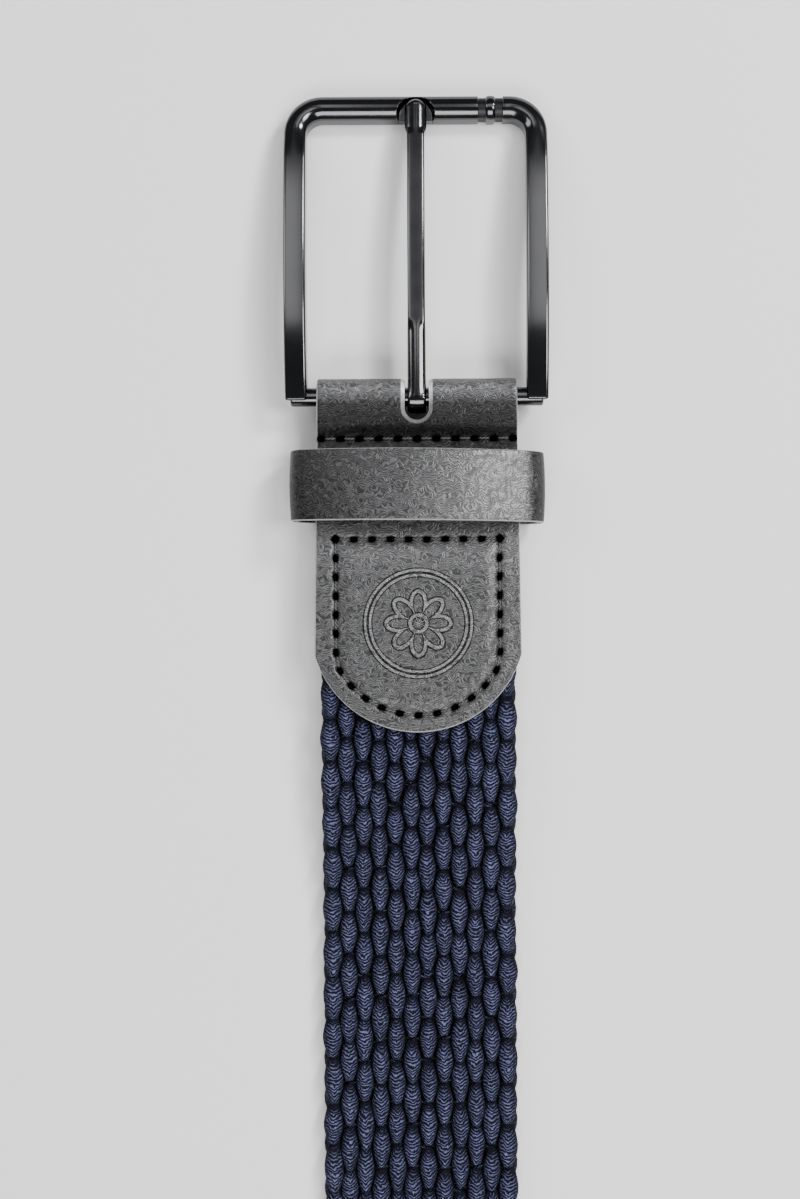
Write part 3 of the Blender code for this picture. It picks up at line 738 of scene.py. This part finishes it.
buckle_leather = sheet(
    "buckle_leather",
    np.concatenate([face_outer, fold_outer, back_outer]),
    np.concatenate([face_inner, fold_inner, back_inner]),
    tab_rows,
    (3, 3),
    tab_leather,
)
point_outwards(buckle_leather)

SLOT_REACH = 8 * MM  # of the cutter, out of the leather
slot_turns = np.radians(np.linspace(180, 360, 25))
slot_x = np.append(SLOT_HALF_WIDTH * np.cos(slot_turns), [SLOT_HALF_WIDTH, -SLOT_HALF_WIDTH])
slot_y = np.append(BAR.y - SLOT_TURN + SLOT_HALF_WIDTH * np.sin(slot_turns), [BAR.y + SLOT_REACH] * 2)
slot_ends = (BAR.z - SLOT_REACH, BAR.z + SLOT_REACH)
slot_cutter = skin("slot_cutter", [np.column_stack([slot_x, slot_y, z + 0 * slot_x]) for z in slot_ends])
for leather in (tab_leather, rim_highlight, leather_cut):
    slot_cutter.data.materials.append(leather)
slot_cutter.data.polygons.foreach_set("material_index", [2] * len(slot_cutter.data.polygons))
point_outwards(slot_cutter)

cut_out = buckle_leather.modifiers.new("slot", "BOOLEAN")
cut_out.operation = "DIFFERENCE"
cut_out.object = slot_cutter
bpy.context.view_layer.objects.active = buckle_leather
bpy.ops.object.modifier_apply(modifier=cut_out.name)
bpy.data.objects.remove(slot_cutter)
buckle_leather.data.set_sharp_from_angle(angle=math.radians(60))
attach(buckle_leather, "strap")
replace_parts(buckle_leather, "buckle_tab")

# The stitches
# Waxed black thread, sewn by machine along the seam and round the border. It shows between the holes and
# dives into them at both ends of each stitch.
THREAD_RADIUS = 0.22 * MM
THREAD_RISE = 0.12 * MM  # how high the middle of a stitch lies over its bed
THREAD_DIVE = 1.1 * MM
PLY_PITCH = 1.5 * MM
PLY_RELIEF = 0.15 * MM
# From the dark between the plies to the painted highlight on them
THREAD_TONES = ((0.0, (0.004, 0.004, 0.004)), (1.0, (0.085, 0.085, 0.087)))
THREAD_SIDES = 8


def thread_material():
    """Black thread, two plies twisted together, with a painted highlight on each ply and painted shade on its
    ends, where they dive into their holes.
    """
    made, tree, shader = new_material("black_thread", 0.6)
    along, around = cord_places(tree)
    from_end = maths(tree, "PINGPONG", maths(tree, "DIVIDE", along, PITCH), 0.5)
    # Painted shade: the thread goes dark towards each end, where it dives into its hole
    hole_shade = maths(tree, "MULTIPLY", maths(tree, "SUBTRACT", from_end, 0.19), 10.0, clamp=True)
    turns = maths(tree, "ADD", maths(tree, "DIVIDE", along, PLY_PITCH), around)
    # The twist of the plies, painted lighter on each ply as a highlight
    ply = maths(tree, "ABSOLUTE", maths(tree, "SINE", maths(tree, "MULTIPLY", turns, 2 * math.pi)))
    colour = ramp(tree, ply, THREAD_TONES)
    shade = add_node(tree, "VectorMath", [(0, colour), ("Scale", hole_shade)], operation="SCALE")
    tree.links.new(shade.outputs[0], shader.inputs["Base Color"])
    tree.links.new(maths(tree, "MULTIPLY", hole_shade, 0.5), shader.inputs["Specular IOR Level"])
    tree.links.new(emboss(tree, ply, PLY_RELIEF), shader.inputs["Normal"])
    return made


black_thread = thread_material()


def sew(name, rows, height, side=1):
    """One piece of thread for each stitch of some rows of holes, over a height given for (x, behind)."""
    made = []
    share = np.linspace(0, 1, 13)
    around = np.arange(THREAD_SIDES) * 2 * np.pi / THREAD_SIDES
    for row in rows:
        for start, end in zip(row, row[1:]):
            x, behind = (start + np.outer(share, end - start)).T
            along = (end - start) / np.hypot(*(end - start))
            up = height(x, behind) + side * (THREAD_RISE - THREAD_DIVE * np.abs(2 * share - 1) ** 3.2)
            middle = np.stack([x, BAR.y - behind, up], axis=1)[:, None]
            across = np.array([along[1], along[0], 0]) * (THREAD_RADIUS * np.cos(around))[:, None]
            lift = np.array([0, 0, 1]) * (THREAD_RADIUS * np.sin(around))[:, None]
            made.append(skin(name, middle + across + lift, share * np.hypot(*(end - start))))
    for piece in made:
        piece.select_set(True)
    bpy.context.view_layer.objects.active = made[0]
    bpy.ops.object.join()
    made[0].select_set(False)
    made[0].data.materials.append(black_thread)
    point_outwards(made[0])
    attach(made[0], "strap")
    return made[0]


def over_tab(x, behind):
    """Height of the thread's bed on the buckle tab: its face with the holes filled."""
    bed = BAR.z + LAYER_MIDDLE + LEATHER / 2 - dip(behind) + tab_relief(x, behind)
    return bed + HOLE_DEPTH * hollows(x, behind, tab_rows)


def under_tab(x, behind):
    """Height of the thread's bed on the tab's underside."""
    return BAR.z - LAYER_MIDDLE - LEATHER / 2 + dip(behind) + 0 * x


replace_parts(sew("tab_stitches_face", tab_rows, over_tab), "buckle_tab")
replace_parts(sew("tab_stitches_back", tab_rows, under_tab, -1), "buckle_tab")

# The keeper loop
# A band of the same leather round the tab, loose enough for the belt's free end. It stands away at the sides
# and is crowned over the top, and its edges are cut square and rubbed round.
KEEPER_WALL = 1.5 * MM
KEEPER_FOOT = 4.5 * MM  # radius where the band turns up from the floor
KEEPER_SHOULDER = 5.0 * MM
KEEPER_SIDE = 1.5 * MM
KEEPER_TWIST = 0.25 * MM  # how far each end of the loop is pulled along the belt
KEEPER_STEP, KEEPER_GRID = 0.45 * MM, 0.4 * MM  # between its points, round the loop and across the band
KEEPER_CROWN = 0.25 * MM  # how much the band is domed across its width
LOOP_LIGHT_AND_SHADE = (
    # place along X, half of the tone: painted shade over the left half and at the right end, a painted
    # highlight over its right third
    (-23 * MM, 0.12),
    (-18 * MM, 0.21),
    (-10 * MM, 0.39),
    (4 * MM, 0.60),
    (12 * MM, 0.72),
    (19 * MM, 0.78),
    (20.8 * MM, 0.28),
    (23 * MM, 0.10),
)
keeper_low, keeper_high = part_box("keeper_loop")


def arc_points(centre, radius, start, end, step):
    """Points and outward directions of an arc between two angles in degrees."""
    long = radius * abs(math.radians(end - start))
    turns = np.radians(np.linspace(start, end, max(2, round(long / step) + 1)))
    out = np.column_stack([np.cos(turns), np.sin(turns)])
    return np.hstack([np.array(centre) + radius * out, out])


foot_x = keeper_high.x - KEEPER_FOOT
shoulder = (keeper_high.x - KEEPER_SHOULDER, KEEPER_FOOT + KEEPER_SIDE)
crown_rise = keeper_high.z - shoulder[1]
crown_radius = (shoulder[0] ** 2 + crown_rise**2 - KEEPER_SHOULDER**2) / (2 * (crown_rise - KEEPER_SHOULDER))
crown_middle = keeper_high.z - crown_radius
lean = math.degrees(math.atan2(shoulder[0], shoulder[1] - crown_middle))
half_loop = np.vstack(
    [
        arc_points((foot_x, KEEPER_FOOT), KEEPER_FOOT, -90, 0, KEEPER_STEP)[:-1],
        arc_points(shoulder, KEEPER_SHOULDER, 0, 90 - lean, KEEPER_STEP)[:-1],
        arc_points((0, crown_middle), crown_radius, 90 - lean, 90, KEEPER_STEP),
    ]
)
floor_stretch = np.array([(x, 0, 0, -1) for x in np.linspace(-foot_x, foot_x, 60)[1:-1]])
loop = np.vstack([half_loop, half_loop[-2::-1] * (-1, 1, -1, 1), floor_stretch])

# The band's section, as places along the belt and depths into the leather, from its outer face round to its
# inner one
half_band = (keeper_high.y - keeper_low.y) / 2
band_across = rimmed(-half_band, half_band, KEEPER_GRID)
band_thick = KEEPER_WALL * rounding(half_band - np.abs(band_across))
band_dome = KEEPER_CROWN * (np.abs(band_across) / half_band) ** 2
outer_depth = (KEEPER_WALL - band_thick) / 2 + band_dome
inner_depth = (KEEPER_WALL + band_thick) / 2 + 0 * band_dome
section_y = np.concatenate([band_across, band_across[::-1]])
section_depth = np.concatenate([outer_depth, inner_depth[::-1]])
band_middle = (keeper_low.y + keeper_high.y) / 2
band_rings = np.empty((len(loop), len(section_y), 3))
band_rings[:, :, 0] = loop[:, 0:1] - loop[:, 2:3] * section_depth
band_rings[:, :, 1] = band_middle + section_y - KEEPER_TWIST * loop[:, 0:1] / keeper_high.x
band_rings[:, :, 2] = loop[:, 1:2] - loop[:, 3:4] * section_depth
keeper = skin("keeper_band", band_rings, closed=True)
keeper_leather = leather_material("keeper_leather", *SOFT_BLACK, "X", LOOP_LIGHT_AND_SHADE)
for leather in (keeper_leather, rim_highlight, leather_cut):
    keeper.data.materials.append(leather)
# The rims take the painted highlight and the cut walls the dark cut edge
band_columns = len(band_across)
on_section = np.arange(len(keeper.data.polygons)) % (2 * band_columns)
on_rim = (on_section < 3) | (np.abs(on_section - band_columns + 1) < 3)
on_rim |= on_section > 2 * band_columns - 3
cut_or_rim = np.where(on_section % band_columns == band_columns - 1, 2, on_rim)
keeper.data.polygons.foreach_set("material_index", cut_or_rim)
point_outwards(keeper)
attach(keeper, "strap")
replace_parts(keeper, "keeper_loop")

# The end tab
# Two layers of the same leather, sewn together round the belt's free end. The photo does not show it, so it
# is plain: rounded like the other tab, with one sewn border.
END_RIM = 1.25 * MM  # half of the tab's thickness at its edge
END_FACE = 3.3 * MM  # half of its thickness over the braid
END_MOUTH_HALF = 2.0 * MM
END_CORNERS = 14.2 * MM  # from the tip back to the corners
END_SHOULDER = 3.0 * MM  # how far in from the edge it reaches its full thickness
END_BORDER_INSET = 2.8 * MM
END_FURROW_DEPTH, END_FURROW_WIDTH = 0.25 * MM, 0.5 * MM
END_CURVE_FROM = 6 * MM  # from the mouth, where the rows start to follow the tip's curve
END_GRID = 0.55 * MM
# The pocket for the braid: its walls at the sides, their slope, its end short of the tip and the slope there
POCKET_WALL, POCKET_SLOPE, POCKET_END, POCKET_END_SLOPE = 0.9 * MM, 0.8 * MM, 13 * MM, 4 * MM
POCKET_COVER = 0.8 * MM  # leather left over the pocket
LAYER_GAP = 0.02 * MM  # half of the gap between the layers at the rim
end_front_low, end_front_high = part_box("end_tab_front")
end_half = end_front_high.x
end_mouth = BAR.y - end_front_high.y
end_tip = BAR.y - end_front_low.y
end_radius = (end_half**2 + END_CORNERS**2) / (2 * END_CORNERS)
end_centre = end_tip - end_radius
end_border_half = end_half - END_BORDER_INSET
end_border_top = end_mouth + END_BORDER_INSET
end_border = border_line(end_radius - END_BORDER_INSET, end_centre, end_border_half, end_border_top)
end_u = evenly(end_border, PITCH)
end_row = evenly([(-end_border_half, end_border_top), (end_border_half, end_border_top)], PITCH)
end_rows = (end_row, end_u)


def from_end_rim(x, behind):
    """How far inside the end tab's sides and tip a point is."""
    from_tip = end_radius - np.hypot(x, np.maximum(behind - end_centre, 0))
    return np.minimum(end_half - np.abs(x), from_tip)


def end_face(x, behind):
    """Half of the end tab's thickness, without its stitch holes."""
    from_edge = from_end_rim(x, behind)
    swell = END_RIM + (END_FACE - END_RIM) * smooth(from_edge / END_SHOULDER + 0.15)
    furrow = np.minimum(from_edge, behind - end_mouth) - END_BORDER_INSET
    return swell - END_FURROW_DEPTH * np.exp(-((furrow / END_FURROW_WIDTH) ** 2))


def end_layer(name, side, node):
    """One layer of the end tab: 1 is the face, -1 the back."""
    columns = rimmed(-end_half, end_half, END_GRID) / end_half
    corners = end_tip - END_CORNERS
    depth = np.sqrt(end_radius**2 - (columns * end_half) ** 2) - (corners - end_centre)
    rows = rimmed(end_mouth, corners, END_GRID)[:, None]
    curve_from = end_mouth + END_CURVE_FROM
    behind = rows + depth * smooth((rows - curve_from) / (corners - curve_from))
    x = columns * end_half + 0 * rows
    from_edge = np.minimum(from_end_rim(x, behind), behind - end_mouth)
    face = end_face(x, behind) * (0.8 + 0.2 * rounding(from_edge))
    face -= HOLE_DEPTH * hollows(x, behind, end_rows)
    pocket = END_MOUTH_HALF * smooth((end_half - np.abs(x) - POCKET_WALL) / POCKET_SLOPE)
    pocket *= smooth((end_tip - POCKET_END - behind) / POCKET_END_SLOPE)
    inner = np.maximum(np.minimum(pocket, face - POCKET_COVER), LAYER_GAP)
    grids = [np.stack([x, BAR.y - behind, END_MIDDLE + side * up], axis=2) for up in (face, inner)]
    made = sheet(name, *grids, end_rows, (3, 3), black_leather)
    point_outwards(made)
    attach(made, "strap")
    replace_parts(made, node)


def end_bed(side):
    """The height of the thread's bed on one layer of the end tab."""
    return lambda x, behind: END_MIDDLE + side * end_face(x, behind)


end_layer("end_leather_front", 1, "end_tab_front")
end_layer("end_leather_back", -1, "end_tab_back")
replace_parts(sew("end_stitches_front", end_rows, end_bed(1)), "end_tab_front")
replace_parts(sew("end_stitches_back", end_rows, end_bed(-1), -1), "end_tab_back")

# The buckle's frame
# Cast and polished, plated dark nickel. Two flat arms with crisp edges bow up from the bar and run into a
# crowned tip bar, which has a notch for the prong and a ringed bead between two dark grooves.
ARM_HALF = 2.0 * MM
ARM_HALF_DEPTH = 2.075 * MM
FRAME_HALF_AT_BAR = 23.9 * MM
ARM_TAIL = 0.4 * MM
TIP_SCALE = 1.08
FRAME_CORNER = 5.0 * MM  # radius of the line that the section follows
FRAME_BOW = 2.75 * MM
FRAME_BOW_SKEW = 0.3  # above 0, the bow is highest on the bar's side of the middle
ARM_CROWN, TIP_CROWN = 0.03 * MM, 1.25 * MM  # how far the face falls from its middle to its edges
ARM_EDGE, TIP_EDGE = 0.55 * MM, 0.28 * MM
NOTCH_RADIUS = 3.3 * MM
NOTCH_INSET = 0.6 * MM
NOTCH_FLOOR = 2.4 * MM
NOTCH_WALL = 0.5 * MM
BEAD_PLACE = 13.7 * MM
BEAD_FORM = (
    # distance from the bead's middle, size of the section as a share of the bar's
    (0.00 * MM, 1.035),
    (0.30 * MM, 1.030),
    (0.55 * MM, 1.010),
    (0.74 * MM, 0.975),
    (0.84 * MM, 0.935),
    (0.88 * MM, 0.860),
    (2.20 * MM, 0.860),
    (2.24 * MM, 0.960),
    (2.32 * MM, 0.995),
    (2.45 * MM, 1.000),
)
GROOVE = (0.86 * MM, 2.21 * MM)  # the dark part, from the bead's middle
BAR_RADIUS = 1.7 * MM
BAR_END_INSET = 0.9 * MM
BAR_END_ROUND = 0.4 * MM
FRAME_STEP, TIP_STEP, NOTCH_STEP = 0.5 * MM, 0.6 * MM, 0.11 * MM  # between the section's rings
CRISP = math.radians(38)  # edges that turn more than this stay sharp
frame_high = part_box("buckle_frame")[1]
tip_middle = frame_high.y - ARM_HALF * TIP_SCALE - BAR.y  # ahead of the bar


def metal_material(name, colour, roughness):
    """Polished plating with a trace of haze."""
    made, tree, shader = new_material(name, roughness, 1.0)
    haze = maths(tree, "MULTIPLY", noise(tree, 180.0, 3.0), 0.10)
    tree.links.new(maths(tree, "ADD", haze, roughness - 0.05), shader.inputs["Roughness"])
    shader.inputs["Base Color"].default_value = (*colour, 1)
    return made


gunmetal = metal_material("gunmetal", (0.08, 0.08, 0.083), 0.15)
groove_black = metal_material("groove_black", (0.03, 0.03, 0.032), 0.42)


def bar_section(half_width, half_depth, crown, edge):
    """Points (across, up) of a bar's section, from columns of sizes. Its top is crowned, its edges are
    rounded and its underside is flat."""
    turns = np.radians(np.linspace(0, 90, 8))
    cos, sin = np.cos(turns), np.sin(turns)
    top, bottom = np.linspace(1, -1, 29)[1:-1], np.linspace(-0.6, 0.6, 4)
    one = np.ones(8)
    out = np.concatenate([one, top, -one, -one, bottom, one])
    turned_out = np.concatenate([cos, 0 * top, -cos[::-1], -cos, 0 * bottom, cos[::-1]])
    turned_up = np.concatenate([sin, 1 + 0 * top, sin[::-1], sin, 1 + 0 * bottom, sin[::-1]])
    upper = np.arange(len(out)) < 16 + len(top)
    across = (half_width - edge) * out + edge * turned_out
    up = (half_depth - edge * (1 - turned_up)) * np.where(upper, 1, -1)
    return across, up - upper * crown * (across / half_width) ** 2


# The line that the frame's section follows, from one arm's end to the other's
arm_x = FRAME_HALF_AT_BAR - ARM_HALF
corner_x = frame_high.x - ARM_HALF - FRAME_CORNER
corner_ahead = tip_middle - FRAME_CORNER
arm_ahead = np.concatenate([np.array(RIM_STEPS) - ARM_TAIL, between(0.4 * MM, corner_ahead, FRAME_STEP)[:-1]])
arm_places = arm_x + (corner_x + FRAME_CORNER - arm_x) * (arm_ahead + ARM_TAIL) / (corner_ahead + ARM_TAIL)
corner_turns = np.radians(np.linspace(0, 90, 28))
bead_steps = np.array(BEAD_FORM)[:, 0]
tip_x = np.concatenate([BEAD_PLACE + bead_steps, BEAD_PLACE - bead_steps, [corner_x - 0.5 * MM]])
tip_x = np.concatenate([tip_x, between(4.2 * MM, 11 * MM, TIP_STEP), between(0, 4.1 * MM, NOTCH_STEP)])
tip_x = np.unique(np.round(tip_x, 9))[::-1]
right_x = np.concatenate([arm_places, corner_x + FRAME_CORNER * np.cos(corner_turns), tip_x])
round_ahead = corner_ahead + FRAME_CORNER * np.sin(corner_turns)
right_ahead = np.concatenate([arm_ahead, round_ahead, tip_middle + 0 * tip_x])
line_x = np.concatenate([right_x, -right_x[-2::-1]])
ahead = np.concatenate([right_ahead, right_ahead[-2::-1]])
frame_share = ahead / tip_middle
frame_bow = 4 * frame_share * (1 - frame_share) * (1 + FRAME_BOW_SKEW * (1 - 2 * frame_share))
line_z = BAR.z + (ARM_HALF_DEPTH * TIP_SCALE - BAR.z) * frame_share + FRAME_BOW * frame_bow

round_corner = smooth((ahead - corner_ahead) / FRAME_CORNER)[:, None]
crowned = smooth((ahead - corner_ahead + 5 * MM) / (FRAME_CORNER + 5 * MM))[:, None]
frame_scale = 1 + (TIP_SCALE - 1) * round_corner
frame_across, frame_up = bar_section(
    ARM_HALF * frame_scale,
    ARM_HALF_DEPTH * frame_scale,
    ARM_CROWN + (TIP_CROWN - ARM_CROWN) * crowned,
    ARM_EDGE + (TIP_EDGE - ARM_EDGE) * crowned,
)
on_tip = ahead > tip_middle - 0.01 * MM
from_bead = np.abs(line_x - BEAD_PLACE)
frame_size = np.where(on_tip, np.interp(from_bead, *np.array(BEAD_FORM).T), 1.0)
frame_size *= 0.74 + 0.26 * np.sqrt(1 - (1 - np.clip((ahead + ARM_TAIL) / RIM_STEPS[-1], 0, 1)) ** 2)


def swept(name, line, across, up):
    """A closed bar with a section (across, up) at each point of a line, upright across the line."""
    along = np.gradient(line, axis=0)
    out = np.column_stack([along[:, 1], -along[:, 0], 0 * along[:, 2]])
    out /= np.linalg.norm(out, axis=1)[:, None]
    upright = np.cross(out, along)
    upright /= np.linalg.norm(upright, axis=1)[:, None]
    return skin(name, line[:, None] + across[:, :, None] * out[:, None] + up[:, :, None] * upright[:, None])


frame_line = np.column_stack([line_x, BAR.y + ahead, line_z])
buckle = swept("buckle", frame_line, frame_across * frame_size[:, None], frame_up * frame_size[:, None])

# The notch: the tip bar's top is sunk to a floor inside a circle, with a short soft wall
frame_spots = np.array([vertex.co for vertex in buckle.data.vertices])
notch_y = BAR.y + tip_middle - ARM_HALF * TIP_SCALE + NOTCH_INSET
from_notch = np.hypot(frame_spots[:, 0], frame_spots[:, 1] - notch_y)
notch_wall = smooth((from_notch - NOTCH_RADIUS) / NOTCH_WALL + 0.5)
sunk = frame_spots[:, 2] > NOTCH_FLOOR
frame_spots[sunk, 2] = NOTCH_FLOOR + (frame_spots[sunk, 2] - NOTCH_FLOOR) * notch_wall[sunk]
buckle.data.vertices.foreach_set("co", frame_spots.ravel())

face_ring = np.arange(len(buckle.data.polygons)) // frame_across.shape[1]
face_ring = np.minimum(face_ring, len(from_bead) - 2)
half_way = (from_bead[face_ring] + from_bead[face_ring + 1]) / 2
dark = on_tip[face_ring] & (half_way > GROOVE[0]) & (half_way < GROOVE[1])
buckle.data.materials.append(gunmetal)
buckle.data.materials.append(groove_black)
buckle.data.polygons.foreach_set("material_index", dark.astype(int))

bpy.ops.mesh.primitive_cylinder_add(
    vertices=48,
    radius=BAR_RADIUS,
    depth=2 * (FRAME_HALF_AT_BAR - BAR_END_INSET),
    location=BAR,
    rotation=(0, math.radians(90), 0),
)
bar = bpy.context.object
bpy.ops.object.transform_apply(location=True, rotation=True, scale=True)
ends = bar.modifiers.new("ends", "BEVEL")
ends.width = BAR_END_ROUND
ends.segments = 4
bpy.ops.object.modifier_apply(modifier=ends.name)
bar.data.shade_smooth()
bar.data.materials.append(gunmetal)
buckle.select_set(True)
bpy.context.view_layer.objects.active = buckle
bpy.ops.object.join()
buckle.select_set(False)
point_outwards(buckle)
buckle.data.set_sharp_from_angle(angle=CRISP)
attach(buckle, "frame")
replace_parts(buckle, "buckle_frame")

# The prong
# A dark nickel bar with softly bevelled sides. One end is rolled into the eye that turns on the bar, the
# other is swaged wider and rounder, and lies in the notch.
PRONG_HALF = 1.6 * MM
PRONG_TIP_HALF = 2.0 * MM
PRONG_TIP_LENGTH = 5.2 * MM
PRONG_NECK = 1.6 * MM
PRONG_HALF_THICK = 1.1 * MM
PRONG_BOW = 1.7 * MM
PRONG_END_ROUND = 1.3 * MM  # how far its corners lie short of its tip
EYE_RADII = (1.95 * MM, 3.1 * MM)
EYE_LENGTH = 4.2 * MM  # ahead of the bar, where the eye's wall has become as thick as the shaft
EYE_CROWN, EYE_EDGE = 0.2 * MM, 0.4 * MM
HEEL = 12.7 * MM  # up to here it is slightly wider and rounder
HEEL_FADE = 1.5 * MM
HEEL_WIDENING = 0.06 * MM
PRONG_CROWN, TIP_END_CROWN, HEEL_CROWN = 0.015 * MM, 0.96 * MM, 0.5 * MM
PRONG_EDGE, TIP_END_EDGE = 0.5 * MM, 0.3 * MM
FINE_LENGTH = 9 * MM  # of the end that has closer rings
NOTCH_ROOM = 0.3 * MM
prong_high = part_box("prong")[1]
prong_reach = prong_high.y - BAR.y
nose = prong_reach - PRONG_HALF_THICK

eye_turns = np.radians(np.linspace(330, 90, 40))[:-1]
eye_middle = sum(EYE_RADII) / 2
fine_from = prong_reach - FINE_LENGTH
shaft = np.concatenate([between(0, fine_from, 0.5 * MM)[:-1], between(fine_from, nose, 0.15 * MM)])
nose_turns = np.radians(np.linspace(0, 88, 14))[1:]
prong_ahead = np.concatenate([shaft, nose + PRONG_HALF_THICK * np.sin(nose_turns)])
pin_share = np.minimum(prong_ahead / nose, 1)
start_z = BAR.z + EYE_RADII[1] - PRONG_HALF_THICK
end_z = NOTCH_FLOOR + NOTCH_ROOM + PRONG_HALF_THICK
prong_z = start_z + (end_z - start_z) * pin_share + PRONG_BOW * np.sin(math.pi * pin_share)
eye_thick = (EYE_RADII[1] - EYE_RADII[0]) / 2
pin_thick = eye_thick + (PRONG_HALF_THICK - eye_thick) * smooth(prong_ahead / EYE_LENGTH)
prong_z += PRONG_HALF_THICK - pin_thick
pin_thick[len(shaft) :] *= np.cos(nose_turns)

flare = smooth((prong_ahead - prong_reach + PRONG_TIP_LENGTH + PRONG_NECK) / PRONG_NECK)
heel = 1 - smooth((prong_ahead - HEEL) / HEEL_FADE + 0.5)
pin_width = PRONG_HALF + (PRONG_TIP_HALF - PRONG_HALF) * flare + HEEL_WIDENING * heel
tip_radius = (PRONG_TIP_HALF**2 + PRONG_END_ROUND**2) / (2 * PRONG_END_ROUND)
past_corner = np.maximum(prong_ahead - prong_reach + tip_radius, tip_radius - PRONG_END_ROUND)
pin_width = np.minimum(pin_width, np.sqrt(np.maximum(tip_radius**2 - past_corner**2, (0.02 * MM) ** 2)))
pin_crown = PRONG_CROWN + TIP_END_CROWN * flare + HEEL_CROWN * heel
pin_edge = PRONG_EDGE + (TIP_END_EDGE - PRONG_EDGE) * flare

eye = np.ones(len(eye_turns))
widths = np.concatenate([eye * (PRONG_HALF + HEEL_WIDENING), pin_width])[:, None]
thicks = np.concatenate([eye * eye_thick, pin_thick])[:, None]
crowns = np.concatenate([eye * EYE_CROWN, pin_crown])[:, None]
edges = np.concatenate([eye * EYE_EDGE, pin_edge])[:, None]
crowns = np.minimum(crowns, thicks * 0.8)
edges = np.minimum(edges, np.minimum(thicks * 0.7, widths * 0.6))
pin_across, pin_up = bar_section(widths, thicks, crowns, edges)
pin_middle_y = np.concatenate([eye_middle * np.cos(eye_turns), prong_ahead])
pin_middle_z = np.concatenate([BAR.z + eye_middle * np.sin(eye_turns), prong_z])
up_y = np.concatenate([np.cos(eye_turns), 0 * prong_ahead])[:, None]
up_z = np.concatenate([np.sin(eye_turns), 1 + 0 * prong_ahead])[:, None]
pin_y = BAR.y + pin_middle_y[:, None] + pin_up * up_y
pin_z = pin_middle_z[:, None] + pin_up * up_z
pin_rings = np.stack([pin_across, pin_y, pin_z], axis=2)
pin = skin("pin", pin_rings)
pin.data.materials.append(gunmetal)
point_outwards(pin)
pin.data.set_sharp_from_angle(angle=CRISP)
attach(pin, "prong")
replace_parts(pin, "prong")
